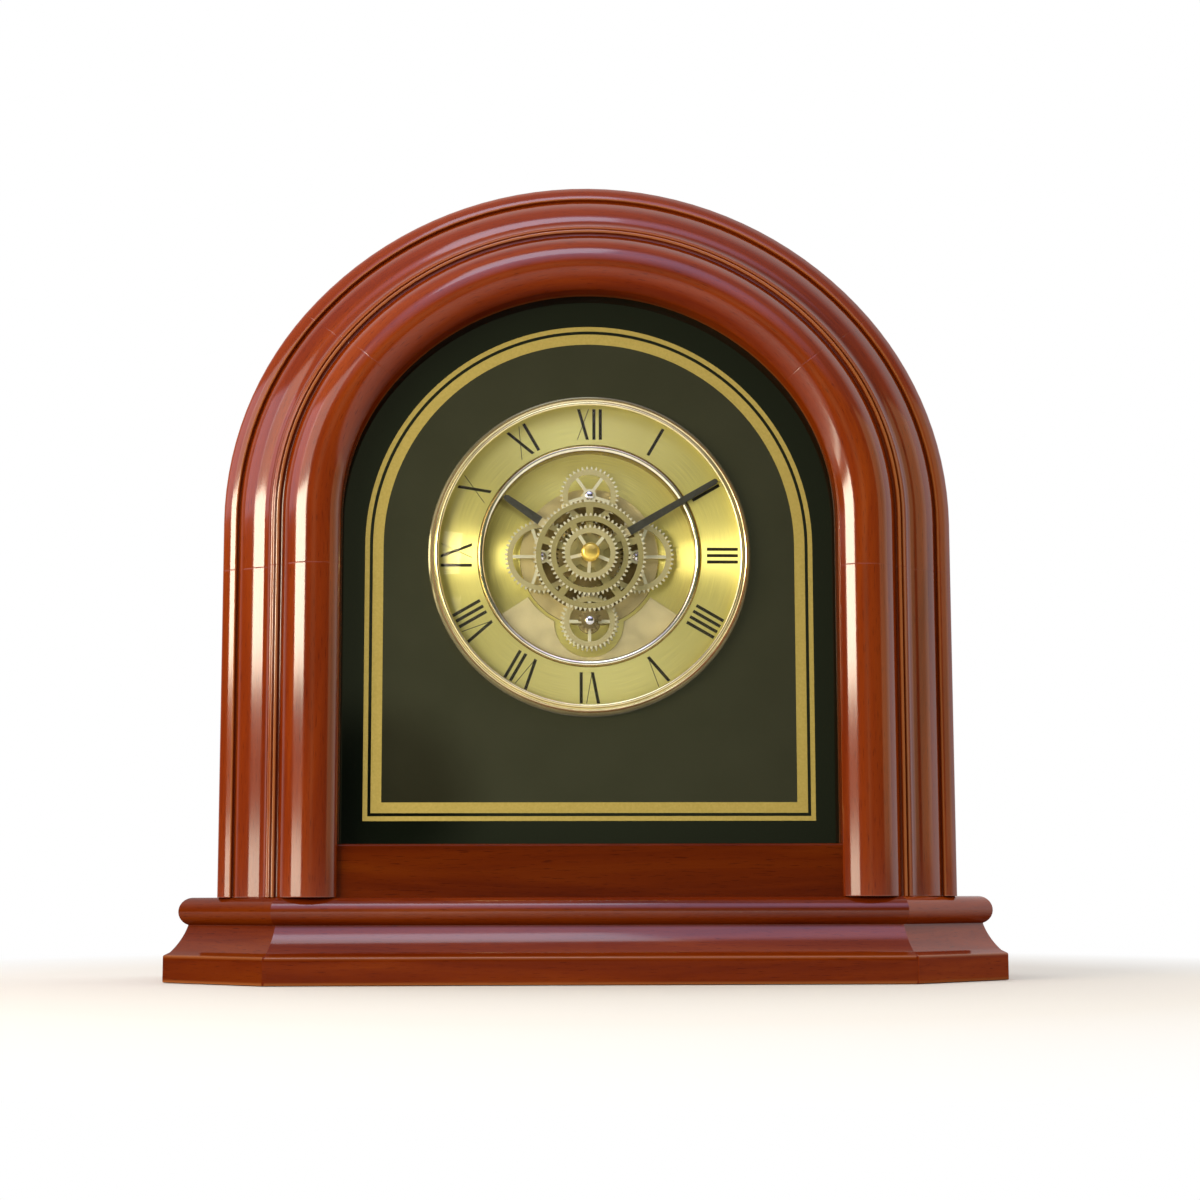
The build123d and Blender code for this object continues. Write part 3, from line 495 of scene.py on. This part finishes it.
def base_length(name, start, end, shift, finish=base_finish):
    """One length of the base between two mitres, each an outer and an inner corner."""
    (start, inner_start), (end, inner_end) = start, end
    along = Vector((end[0] - start[0], end[1] - start[1])).normalized()
    hairline = 0.12
    rings = []
    for share in stations(0.0, 1.0, 4, (0.004, 0.008)):
        points = []
        marks = []
        tuck = hairline if share in (0.0, 1.0) else 0.0
        for inset, rise in base_outline:
            depth = min(max(inset, tuck), moulding_width) / moulding_width
            a = Vector(start).lerp(Vector(inner_start), depth)
            b = Vector(end).lerp(Vector(inner_end), depth)
            spot = a.lerp(b, share)
            points.append((spot.x * MM, spot.y * MM, rise * MM))
            marks.append(spot.dot(along) * MM + shift)
        rings.append((points, marks))
    mesh = swept(name, base_outline, rings, base_relief)
    piece = new_object(name, mesh, finish)
    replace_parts(piece, name.replace("_wood", ""))


def mitres(side):
    """The outer and inner corners of one side's ends, from front to back."""
    outer, inner = side * base_half, side * (base_half - moulding_width)
    bend = cant - half_depth
    return (
        ((side * front_half, -half_depth),
         (side * (front_half - creep), moulding_width - half_depth)),
        ((outer, bend), (inner, bend + creep)),
        ((outer, half_depth), (inner, half_depth)),
    )


for side, label, shift in ((-1, "left", 0.9), (1, "right", 1.7)):
    at_front, at_bend, at_back = mitres(side)
    base_length(
        "base_%s_corner_moulding_wood" % label, at_front, at_bend, shift, corner_finish_shaded_and_lit[label]
    )
    base_length("base_%s_side_moulding_wood" % label, at_bend, at_back, shift + 0.4)
base_length("base_front_moulding_wood", mitres(-1)[0], mitres(1)[0], 0.2)


def dress(material, *names):
    """Gives carried-over CAD nodes their finish."""
    for node in names:
        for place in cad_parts[node].material_slots:
            place.material = material


dress(mahogany("mahogany_rail", axis="X", tone=0.75), "base_rear_rail")

# ---------------------------------------------------------------------------
# Arch frame, of the same stained hardwood: one moulding, straight on the
# stiles and turned on the arch in three segments. Butt joints, glued, show
# as hairlines.
# ---------------------------------------------------------------------------
frame_finish = mahogany("mahogany_frame", figure_size=0.8, tone=1.08)
frame_back, glass_face = -20.0, -39.0
frame_outline = eased(
    [
        (0.0, frame_back),
        *arc((0.0, -30.0), (2.57, -32.10), (4.67, -32.91), 8),
        (5.06, -31.51),
        (5.97, -31.93),
        *arc((5.97, -33.11), (10.09, -36.94), (14.21, -38.74), 10),
        *arc((14.21, -38.74), (16.55, -40.67), (17.46, -44.78), 10)[1:],
        (17.76, -44.78),
        (18.46, -45.38),
        (19.16, -44.48),
        (19.30, -46.35),
        (20.20, -46.35),
        (20.50, -45.23),
        *arc((21.20, -45.23), (31.26, -52.40), (40.60, -47.92), 28),
        (40.60, glass_face),
        (34.60, glass_face),
        (34.60, frame_back),
    ],
    radius=0.3,
)
# Painted shade: the inner flank of the big roll, turned away towards the glass, is made darker
# through the relief, as if it were a hollow
frame_relief = relief_of(frame_outline, reach=0.9)
flank_start, flank_width, flank_depth, flank_painted_shade = 37.5, 3.1, -45, 0.6
for i, (offset, depth) in enumerate(frame_outline):
    if depth < flank_depth:
        share = min(max((offset - flank_start) / flank_width, 0.0), 1.0)
        frame_relief[i] += flank_painted_shade * share
half_frame, stile_top = 122.972, 136.9197
shoulder_radius, shoulder_shift, shoulder_height = 112.028, 10.9445, 153.4697
crown_radius, crown_height, joint = 126.315, 144.285, 40.0


def frame_length(name, places, side, shift):
    """A length of the frame through places, its ends tucked in a hair at the joints.

    A place is a function that gives x and z for an offset, and a distance along the grain.
    """
    hairline, middle_of_section = 0.03, 30
    rings = []
    for order, (spot, distance) in enumerate(places):
        points = []
        tuck = hairline if order in (0, len(places) - 1) else 0.0
        for offset, depth in frame_outline:
            if depth < frame_back - 0.1:
                depth += tuck
            if offset < middle_of_section:
                offset = max(offset, tuck)
            x, z = spot(offset)
            points.append((side * x * MM, depth * MM, z * MM))
        rings.append((points, [distance * MM + shift] * len(points)))
    mesh = swept(name, frame_outline, rings, frame_relief)
    piece = new_object(name, mesh, frame_finish)
    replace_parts(piece, name.replace("_wood", ""))


def on_stile(height):
    """A place on the straight part; the offset runs inwards from the outer edge."""
    return (lambda offset: (half_frame - offset, height)), height


def on_arc(cx, cz, radius, degrees, distance):
    """A place on an arc about (cx, cz)."""
    angle = math.radians(degrees)
    return (
        lambda offset: (
            cx + (radius - offset) * math.cos(angle), cz + (radius - offset) * math.sin(angle)
        )
    ), distance


near_height, near_angle = (0.12, 0.3), (0.06, 0.2)
stile = [on_stile(height) for height in stations(base_height, stile_top, 4, near_height)]
shoulder = [
    on_stile(height) for height in stations(stile_top, shoulder_height, 2, near_height)[:-3]
]
# The grain is measured along the middle of the moulding
shoulder_grain, crown_grain, crown_start = 92, 106, 143.7
for degrees in [0.0, *stations(0.0, joint, 14, near_angle)[3:]]:
    run = shoulder_height + math.radians(degrees) * shoulder_grain
    shoulder.append(on_arc(shoulder_shift, shoulder_height, shoulder_radius, degrees, run))
crown = []
for degrees in stations(joint, 180 - joint, 36, near_angle):
    run = math.radians(degrees) * crown_grain + crown_start
    crown.append(on_arc(0, crown_height, crown_radius, degrees, run))
for side, label, shift in ((-1, "left", 3.291), (1, "right", 3.1)):
    frame_length("frame_%s_stile_wood" % label, stile, side, shift)
    frame_length("frame_arch_%s_wood" % label, shoulder, side, shift + 0.004)
frame_length("frame_arch_crown_wood", crown, 1, 3.108)

# ---------------------------------------------------------------------------
# Lower rail under the glass: a plain board of the same wood between the
# stiles, its grain across, with hardly any lacquer.
# ---------------------------------------------------------------------------
rail_finish = mahogany("mahogany_lower_rail", axis="X", figure_size=0.8, tone=0.55, gloss=0.15)
dress(rail_finish, "lower_rail")

# ---------------------------------------------------------------------------
# Case behind the frame: a hood bent over the arch, a back board with a
# hinged door, and the board inside the base, all of stained wood.
# ---------------------------------------------------------------------------
dress(mahogany("mahogany_hood", axis="Y", figure_size=0.7, tone=0.9), "case_hood")
back_finish = mahogany("stained_back", axis="Z", figure_size=0.6, tone=0.6)
dress(back_finish, "back_board", "back_door", "base_board")

# ---------------------------------------------------------------------------
# Black glass panel: sheet glass, painted black behind, with a double gold
# line printed on its face and a smoked field within. The thin line runs
# outside the broad one. A stained wooden bead holds the glass from behind.
# ---------------------------------------------------------------------------
dial_height, insert_radius = 141.1, 53.4
line_half, line_foot, arch_centre = 74.8, 52.8, 144.6
glass_black, tree, shader = principled(
    "black_glass", (0.004, 0.006, 0.0028), Roughness=0.04, IOR=1.62
)
dust = noise(tree, own_place(tree), 60.0, 4.0)
feed(shader, Roughness=spread(tree, dust, first=0.03, last=0.07))
dress(glass_black, "glass_panel")

field_grey, tree, shader = principled(
    "smoked_field", (0.03, 0.03, 0.016), Roughness=0.03, IOR=1.75
)
dust = noise(tree, own_place(tree), 45.0, 4.0)
feed(
    shader,
    Base_Color=ramp(tree, dust, (0.3, (0.024, 0.024, 0.012)), (0.7, (0.03, 0.03, 0.016))),
    Roughness=spread(tree, dust, first=0.02, last=0.05),
)


def arch_points(inset, steps=96, foot_steps=48):
    """The arch of the printed lines, inset from their outer edge: a half circle and a foot."""
    half, foot = line_half - inset, line_foot + inset
    angles = [math.pi * i / steps for i in range(steps + 1)]
    turns = [(half * math.cos(angle), arch_centre + half * math.sin(angle)) for angle in angles]
    floor = [(half - 2 * half * i / foot_steps, foot) for i in range(foot_steps + 1)]
    return [*turns, *reversed(floor)]


def printed(name, outer, inner, thickness, material):
    """A film of print on the glass between two closed lines with as many points."""
    builder = bmesh.new()
    front, back = [
        [[builder.verts.new((x * MM, y * MM, z * MM)) for x, z in loop] for loop in (outer, inner)]
        for y in (glass_face - thickness, glass_face)
    ]
    strips = (front, (front[0], back[0]), (front[1], back[1]), back)
    count = len(outer)
    for i in range(count):
        j = (i + 1) % count
        for one, other in strips:
            builder.faces.new([one[i], one[j], other[j], other[i]])
    new_object(name, mesh_of(builder, name), material, smooth=20)


field_edge = arch_points(6.0)
around_insert = []
for x, z in field_edge:
    bearing = math.atan2(z - dial_height, x)
    around_insert.append(
        (insert_radius * math.cos(bearing), dial_height + insert_radius * math.sin(bearing))
    )
printed("smoked_field_film", field_edge, around_insert, 0.02, field_grey)
border_gold, tree, shader = principled(
    "printed_gold", (0.5, 0.39, 0.09), Metallic=0.4, Roughness=0.45
)
flake = noise(tree, own_place(tree), 1400.0)
ink = ramp(tree, flake, (0.3, (0.47, 0.36, 0.075)), (0.7, (0.54, 0.42, 0.1)))
feed(shader, Base_Color=ink)
for name, inset, width in (("border_thin_line", 0.0, 1.55), ("border_broad_line", 2.6, 3.5)):
    outer, inner = arch_points(inset), arch_points(inset + width)
    printed(name, outer, inner, 0.03, border_gold)
dress(mahogany("stained_bead", axis="X", tone=0.5), "panel_retaining_bead")

# ---------------------------------------------------------------------------
# Insert: a bezel spun from brass and gold plated, with a rolled edge and a
# fine groove, holds the domed crystal. The plated cup and its clamp ring sit
# behind the glass panel and pinch it.
# ---------------------------------------------------------------------------
smudge, source, result = new_group(
    "handled_metal", [("Vector", VECTOR)], [("Tone", FLOAT), ("Height", FLOAT)]
)
feed(
    result,
    Tone=noise(smudge, source["Vector"], 140.0, 3.0),
    Height=noise(smudge, source["Vector"], 1500.0),
)


def metal(name, colour, roughness, tone=0.12, bump=0.02, metallic=1.0):
    """A plated metal with faint clouding, so no surface is one flat colour."""
    material, tree, shader = principled(name, colour, Metallic=metallic, Roughness=roughness)
    marks = put(tree, "ShaderNodeGroup", {"Vector": own_place(tree)}, node_tree=smudge).outputs
    dull, bright = tinted(colour, 1 - tone), tinted(colour, 1 + tone / 2)
    knocks = put(
        tree, "ShaderNodeBump", {"Height": marks["Height"], "Strength": bump, "Distance": 0.0005}
    )
    feed(
        shader,
        Base_Color=ramp(tree, marks["Tone"], (0.3, dull), (0.7, bright)),
        Roughness=spread(tree, marks["Tone"], first=roughness * 0.7, last=roughness * 1.3),
        Normal=knocks.outputs[0],
    )
    return material


def lathe(name, outline, material, node, steps, smooth=35.0):
    """Turns a closed outline of (radius, depth) about the dial's axis."""
    map_length = 0.3
    builder = bmesh.new()
    uv = builder.loops.layers.uv.new("along")
    rows = []
    for s in range(steps):
        angle = math.tau * s / steps
        x, z = math.cos(angle), math.sin(angle)
        rows.append([
            builder.verts.new((r * x * MM, y * MM, (dial_height + r * z) * MM)) for r, y in outline
        ])
    count = len(outline)
    for s in range(steps):
        here, there = rows[s], rows[(s + 1) % steps]
        for i in range(count):
            j = (i + 1) % count
            face = builder.faces.new([here[i], here[j], there[j], there[i]])
            corners = ((s, i), (s, i + 1), (s + 1, i + 1), (s + 1, i))
            for loop, (turned, along) in zip(face.loops, corners):
                loop[uv].uv = (turned / steps * map_length, along * MM)
    bmesh.ops.remove_doubles(builder, verts=builder.verts, dist=1e-6)
    piece = new_object(name, mesh_of(builder, name), material, smooth=smooth)
    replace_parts(piece, node)
    return piece


polished = metal("polished_gold", (0.92, 0.81, 0.44), 0.14, metallic=0.85)
bezel_outline = [
    (52.7, glass_face), (52.7, -39.6), (51.7, -39.6), (51.7, -43.5), (50.2, -43.5), (50.2, -43.85),
    *arc((50.25, -43.95), (50.75, -44.2), (51.35, -44.0), 6),
    (51.6, -43.45), (51.85, -43.4),
    *arc((52.15, -43.55), (53.3, -42.2), (53.88, -40.1), 14),
    (53.88, glass_face),
]
lathe("bezel_spun", bezel_outline, polished, "bezel", steps=320)
dress(metal("plated_cup", (0.75, 0.68, 0.45), 0.3, bump=0.003), "insert_cup", "clamp_ring")

# Light reaches the dial straight through the crystal
crystal_glass, tree, shader = principled(
    "crystal_glass", (1, 1, 1), Roughness=0.0, Transmission_Weight=1.0, IOR=1.15
)
path = put(tree, "ShaderNodeLightPath").outputs
passing = calculate(tree, "MAXIMUM", path["Is Shadow Ray"], path["Is Diffuse Ray"])
clear = put(tree, "ShaderNodeBsdfTransparent").outputs[0]
feed(tree.nodes["Material Output"], Surface=either(tree, passing, shader.outputs[0], clear))


def dome(edge, rim=50.0, rise=7.28, steps=28):
    """Points of a shallow dome from its rim, at the depth edge, to its apex."""
    sphere = (rim * rim + rise * rise) / (2 * rise)
    radii = [rim * (1 - i / steps) for i in range(steps + 1)]
    return [(r, edge - rise + sphere - math.sqrt(sphere * sphere - r * r)) for r in radii]


crystal_outline = [(51.55, -43.48), *dome(-43.5), *reversed(dome(-42.3)), (51.55, -42.3)]
lathe(
    "crystal_dome", crystal_outline, crystal_glass, "crystal", steps=160, smooth=40
)

# ---------------------------------------------------------------------------
# Dial: a flat chapter ring, a polished step ring and a sunk plate of stamped
# brass, gold plated; ring and plate are brushed round and round. The sector
# and bridge plates lie on the sunk plate, with bright cut edges.
# ---------------------------------------------------------------------------
brushing, source, result = new_group("round_brushing", [("Vector", VECTOR)], [("Tone", FLOAT)])
flat = split(brushing, source["Vector"])
x_square = calculate(brushing, "MULTIPLY", flat["X"], flat["X"])
square = calculate(brushing, "MULTIPLY_ADD", flat["Z"], flat["Z"], x_square)
swirl = put(brushing, "ShaderNodeCombineXYZ", {
    "X": calculate(brushing, "SQRT", square),
    "Y": calculate(brushing, "ARCTAN2", flat["X"], flat["Z"]),
}).outputs[0]
lines = vector_math(brushing, "MULTIPLY", swirl, (9000, 3.0, 1))
feed(result, Tone=noise(brushing, lines, 1.0, 3.0))


def brushed_gold(name, colour=(0.74, 0.69, 0.22), roughness=0.34):
    """Gold plate brushed round the dial's axis, so its highlight opens into two wedges."""
    material, tree, shader = principled(
        name, colour, Metallic=0.75, Roughness=roughness, Anisotropic=1.0, Anisotropic_Rotation=0.25
    )
    from_axis = vector_math(tree, "SUBTRACT", own_place(tree), (0, 0, dial_height * MM))
    tone = put(tree, "ShaderNodeGroup", {"Vector": from_axis}, node_tree=brushing).outputs["Tone"]
    dull, bright = tinted(colour, 0.86), tinted(colour, 1.08)
    feed(
        shader,
        Base_Color=ramp(tree, tone, (0.3, dull), (0.7, bright)),
        Roughness=spread(tree, tone, first=roughness * 0.85, last=roughness * 1.15),
        Tangent=put(tree, "ShaderNodeTangent", direction_type="RADIAL", axis="Y").outputs[0],
    )
    return material


def broken_edges(node, material, width, body="case", smooth=25.0, edge=None):
    """A copy of a CAD piece whose sharp edges are broken, as tumbling leaves them."""
    builder = bmesh.new()
    builder.from_mesh(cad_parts[node].data)
    bmesh.ops.remove_doubles(builder, verts=builder.verts, dist=2e-6)
    bmesh.ops.dissolve_limit(
        builder, angle_limit=math.radians(1.0), verts=builder.verts, edges=builder.edges,
        delimit={"NORMAL"},
    )
    sharp = [
        e for e in builder.edges
        if len(e.link_faces) == 2 and e.calc_face_angle(0) > math.radians(30)
    ]
    bmesh.ops.bevel(
        builder, geom=sharp, offset=width * MM, segments=1, affect="EDGES", clamp_overlap=True,
        profile=0.5, material=1 if edge else -1,
    )
    name = node + "_finished"
    mesh = mesh_of(builder, name, turn_out=False)
    piece = new_object(name, mesh, material, body=body, smooth=smooth)
    if edge:
        mesh.materials.append(edge)
    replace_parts(piece, node)


bands, source, result = new_group(
    "ring_bands",
    [("Vector", VECTOR), ("Centre", VECTOR), ("Inner", FLOAT), ("Outer", FLOAT)],
    [("Between", FLOAT)],
)
from_centre = vector_math(bands, "SUBTRACT", source["Vector"], source["Centre"])
radius = vector_math(bands, "LENGTH", vector_math(bands, "MULTIPLY", from_centre, (1, 0, 1)))
past = calculate(bands, "GREATER_THAN", radius, source["Inner"])
within = calculate(bands, "LESS_THAN", radius, source["Outer"])
feed(result, Between=calculate(bands, "MULTIPLY", past, within))


def banded(material, inner, outer, colour, centre=(0, 0)):
    """Recolours a finish between two radii, in millimetres, about a point (x, z) of the dial."""
    tree = material.node_tree
    shader = tree.nodes["Principled BSDF"]
    x, z = centre
    between = put(tree, "ShaderNodeGroup", {
        "Vector": own_place(tree),
        "Centre": (x * MM, 0, (dial_height + z) * MM),
        "Inner": inner * MM,
        "Outer": outer * MM,
    }, node_tree=bands).outputs["Between"]
    before = shader.inputs["Base Color"].links[0].from_socket
    feed(shader, Base_Color=mix(tree, between, before, colour))


dress(brushed_gold("brushed_chapter"), "chapter_ring")
dress(brushed_gold("brushed_plate"), "dial_plate")
cut_edge = metal("cut_edge", (1.0, 0.95, 0.8), 0.12, tone=0.05)
sector_gold = metal("satin_sector", (0.64, 0.57, 0.3), 0.42, metallic=0.7)
broken_edges("sector_plate", sector_gold, 0.12, edge=cut_edge)
bridge_gold_painted_shade = metal("bridge_plates", (0.52, 0.44, 0.2), 0.42, metallic=0.7)
# Painted shade: the bridge plate is darker within 18.2 mm of the axis, under the hour wheel
banded(bridge_gold_painted_shade, 0, 18.2, (0.15, 0.11, 0.035))
broken_edges("bridge_plate", bridge_gold_painted_shade, 0.12, edge=cut_edge)
step_outline = [
    (37.5, -34.0), (37.5, -39.95),
    *arc((37.45, -40.1), (36.4, -40.6), (35.35, -40.1), 16),
    (35.3, -39.9), (35.3, -34.0),
]
ring_gold_painted_shade = metal("step_ring_gold", (1.0, 0.93, 0.72), 0.12)
# Painted shade: the ring's outer half and its inner foot are coloured dark brown, for the dark
# lines at its edges
banded(ring_gold_painted_shade, 36.75, 40, (0.36, 0.26, 0.08))
banded(ring_gold_painted_shade, 0, 35.5, (0.3, 0.21, 0.07))
step_ring = lathe(
    "step_ring_polished", step_outline, ring_gold_painted_shade, "step_ring", steps=280
)
# Without its shadow the sunk plate inside it stays as light as the real one
step_ring.visible_shadow = False

# ---------------------------------------------------------------------------
# Roman numerals, printed in black on the chapter ring with their feet to the
# centre. They are tall and narrow, of straight bars without serifs.
# ---------------------------------------------------------------------------
numeral_ink, tree, shader = principled(
    "numeral_ink", (0.012, 0.012, 0.005), Roughness=0.5, Specular_IOR_Level=0.15
)
pinholes = noise(tree, own_place(tree), 2500.0)
ink = ramp(tree, pinholes, (0.3, (0.01, 0.01, 0.004)), (0.75, (0.024, 0.023, 0.009)))
feed(shader, Base_Color=ink)
ring_face, ink_thickness = -40.1, 0.03
inner_edge, outer_edge = 39.2, 49.6
thick, thin, pitch_of_bars = 1.05, 0.24, 2.15
cross_width, fork_width, narrow_cross = 5.0, 4.6, 4.0
gap_before_bar, gap_before_letter, gap_in_nine = 1.15, 0.75, 1.95
fork_lean, fork_step = 0.25, 0.1


def stroke(builder, low, high, width):
    """A bar of the numeral between (x, radius) points, cut level at both ends."""
    corners = [
        (x + side * width / 2, y, r)
        for y in (ring_face, ring_face - ink_thickness)
        for (x, r), side in ((low, -1), (low, 1), (high, 1), (high, -1))
    ]
    verts = [builder.verts.new(c) for c in corners]
    builder.faces.new(verts[4:8])
    for i in range(4):
        j = (i + 1) % 4
        builder.faces.new([verts[i], verts[j], verts[j + 4], verts[i + 4]])
    return verts


def numeral(text):
    """The strokes of a numeral as (low, high, width) with x from its own centre."""
    widths = {"V": fork_width, "X": narrow_cross if text == "XII" else cross_width}
    strokes = []
    x = 0.0
    previous = ""
    for letter in text:
        if letter == "I":
            if previous:
                x += pitch_of_bars - thick if previous == "I" else gap_before_bar
            middle = x + thick / 2
            strokes.append(((middle, inner_edge), (middle, outer_edge), thick))
            x += thick
        else:
            if previous:
                x += gap_in_nine if text == "IX" else gap_before_letter
            width = widths[letter]
            left, right = x + thick / 2, x + width - thin / 2
            if letter == "X":
                thick_foot, thin_foot = x + width - thick / 2, x + thin / 2
            else:
                thick_foot = x + width / 2 + fork_lean
                thin_foot = thick_foot + fork_step
            strokes.append(((thick_foot, inner_edge), (left, outer_edge), thick))
            strokes.append(((thin_foot, inner_edge), (right, outer_edge), thin))
            x += width
        previous = letter
    return [((a - x / 2, r), (b - x / 2, s), w) for (a, r), (b, s), w in strokes]


builder = bmesh.new()
hours = ("XII", "I", "II", "III", "IIII", "V", "VI", "VII", "VIII", "IX", "X", "XI")
for hour, text in enumerate(hours):
    turned = -math.radians(30 * hour)
    cosine, sine = math.cos(turned), math.sin(turned)
    for low, high, width in numeral(text):
        for vert in stroke(builder, low, high, width):
            x, y, r = vert.co
            vert.co = (
                (x * cosine - r * sine) * MM,
                y * MM,
                (dial_height + x * sine + r * cosine) * MM,
            )
numerals = mesh_of(builder, "roman_numerals")
new_object("roman_numerals", numerals, numeral_ink, smooth=20)

# ---------------------------------------------------------------------------
# Open train: wheels stamped from brass and plated pale gold, on gold pipes.
# The teeth, and the spokes and hubs of the satellites, are coloured near
# white, a painted highlight; the rim or the whole inside of a wheel is
# deeper. A gold cap closes the hub.
# ---------------------------------------------------------------------------
side, top, bottom = 16.0, 20.5, -22.0
half_module, tooth_root, rim_foot, wheel_edge = 0.25, 0.55, 2.3, 0.05
trains = (
    ("hour_wheel", "hour_work", 74, (0, 0)),
    ("minute_wheel", "minute_work", 54, (0, 0)),
    ("seconds_wheel", "seconds_work", 36, (0, 0)),
    ("left_satellite_wheel", "left_satellite", 48, (-side, 0)),
    ("right_satellite_wheel", "right_satellite", 48, (side, 0)),
    ("top_satellite_wheel", "top_satellite", 38, (0, top)),
    ("bottom_satellite_wheel", "bottom_satellite", 38, (0, bottom)),
    ("bottom_front_wheel", "bottom_satellite", 36, (0, bottom)),
)
for node, body, teeth, centre in trains:
    pitch_radius = teeth * half_module
    # Painted highlight: the wheel's colour is near white, and only the band is the deeper plated
    # gold
    wheel_gold_painted_glint = metal(node + "_gold", (1.0, 0.94, 0.7), 0.2, tone=0.1, metallic=0.5)
    if body in ("hour_work", "minute_work"):
        band_foot, band_gold = 0, (0.5, 0.44, 0.2)
    else:
        band_foot, band_gold = pitch_radius - rim_foot, (0.68, 0.61, 0.33)
    banded(wheel_gold_painted_glint, band_foot, pitch_radius - tooth_root, band_gold, centre)
    broken_edges(node, wheel_gold_painted_glint, wheel_edge, body=body)
deep_gold = metal("deep_gold", (0.36, 0.28, 0.12), 0.3, tone=0.3)
for node, body in (
    ("drive_wheel", "hour_work"),
    ("hour_pinion", "hour_work"),
    ("bottom_pinion", "bottom_satellite"),
):
    broken_edges(node, deep_gold, wheel_edge, body=body)
pipe_gold = metal("pipe_gold", (0.78, 0.66, 0.36), 0.16)
dress(pipe_gold, "seconds_arbor", "minute_pipe", "hour_pipe", "bottom_sleeve")
cap_gold = metal("cap_gold", (1.0, 0.72, 0.16), 0.3)
broken_edges("hub_cap", cap_gold, 0.2, body="seconds_work", smooth=50)

# ---------------------------------------------------------------------------
# Posts of the satellites, turned from steel, each with a domed, polished
# screw in its head.
# ---------------------------------------------------------------------------
steel = metal("polished_steel", (0.80, 0.81, 0.84), 0.1)
dress(steel, "satellite_posts")
screw_dome = ((1.6, 0), (1.6, 0.15), (1.45, 0.4), (1.1, 0.62), (0.6, 0.76), (0.12, 0.8))
screw_steps = 24
builder = bmesh.new()
for x, z, seat in ((-side, 0, -36.8), (side, 0, -36.8), (0, top, -38.3), (0, bottom, -41.3)):
    rows = []
    for radius, rise in screw_dome:
        row = []
        for i in range(screw_steps):
            angle = math.tau * i / screw_steps
            row.append(builder.verts.new((
                (x + radius * math.cos(angle)) * MM,
                (seat - rise) * MM,
                (dial_height + z + radius * math.sin(angle)) * MM,
            )))
        rows.append(row)
    for low, high in zip(rows, rows[1:]):
        for i in range(screw_steps):
            j = (i + 1) % screw_steps
            builder.faces.new([low[i], low[j], high[j], high[i]])
    builder.faces.new(rows[0])
    builder.faces.new(rows[-1])
screws = mesh_of(builder, "domed_screws")
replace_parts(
    new_object("domed_screws", screws, steel, smooth=50), "satellite_screws"
)

# ---------------------------------------------------------------------------
# Fittings behind the dial and in the case: plated steel, and brass for the
# leaves of the hinges and the door's knob.
# ---------------------------------------------------------------------------
dress(
    metal("plated_steel", (0.62, 0.62, 0.6), 0.3),
    "mounting_nut", "movement_bush", "case_screws", "door_magnet", "door_strike_plate",
    "battery_contacts", "door_hinge_pins",
)
hinge_brass = metal("hinge_brass", (0.72, 0.58, 0.28), 0.28)
dress(hinge_brass, "door_hinge_case_leaves", "door_hinge_door_leaves", "door_knob")

# ---------------------------------------------------------------------------
# Hands: batons stamped from sheet and lacquered black, fixed to the backs of
# their wheels' rims. Within the rim they show the plating of the wheel.
# ---------------------------------------------------------------------------
for node, body, root in (("minute_hand", "minute_work", 15.3), ("hour_hand", "hour_work", 20.2)):
    hand_black, tree, shader = principled(node + "_lacquer", Roughness=0.35)
    spots = noise(tree, own_place(tree), 900.0)
    lacquer = ramp(tree, spots, (0.3, (0.028, 0.029, 0.02)), (0.7, (0.045, 0.046, 0.033)))
    feed(shader, Base_Color=lacquer)
    banded(hand_black, 0, root, (0.42, 0.37, 0.2))
    broken_edges(node, hand_black, 0.06, body=body)

# ---------------------------------------------------------------------------
# Quartz movement: a moulded black housing, a cell in a plain jacket and a
# setting knob, reached through the back door.
# ---------------------------------------------------------------------------
plastic, tree, shader = principled("moulded_plastic", (0.018, 0.018, 0.02), Roughness=0.5)
spark = noise(tree, own_place(tree), 1800.0)
grit = put(tree, "ShaderNodeBump", {"Height": spark, "Strength": 0.15, "Distance": 0.0004})
feed(
    shader,
    Base_Color=ramp(tree, spark, (0.3, (0.014, 0.014, 0.016)), (0.7, (0.026, 0.026, 0.028))),
    Normal=grit.outputs[0],
)
dress(plastic, "movement_housing", "setting_knob")
jacket_black, jacket_copper, cell_half = (0.02, 0.02, 0.022), (0.62, 0.27, 0.1), 0.027
jacket, tree, shader = principled("battery_jacket", jacket_black, Metallic=0.4, Roughness=0.25)
along = spread(tree, split(tree, own_place(tree))["X"], -cell_half, cell_half)
feed(shader, Base_Color=ramp(
    tree,
    along,
    (0.0, (0.6, 0.6, 0.6)),
    (0.03, jacket_black),
    (0.7, jacket_black),
    (0.72, jacket_copper),
    (0.94, jacket_copper),
    (0.96, (0.62, 0.62, 0.6)),
))
dress(jacket, "battery")

low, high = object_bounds()
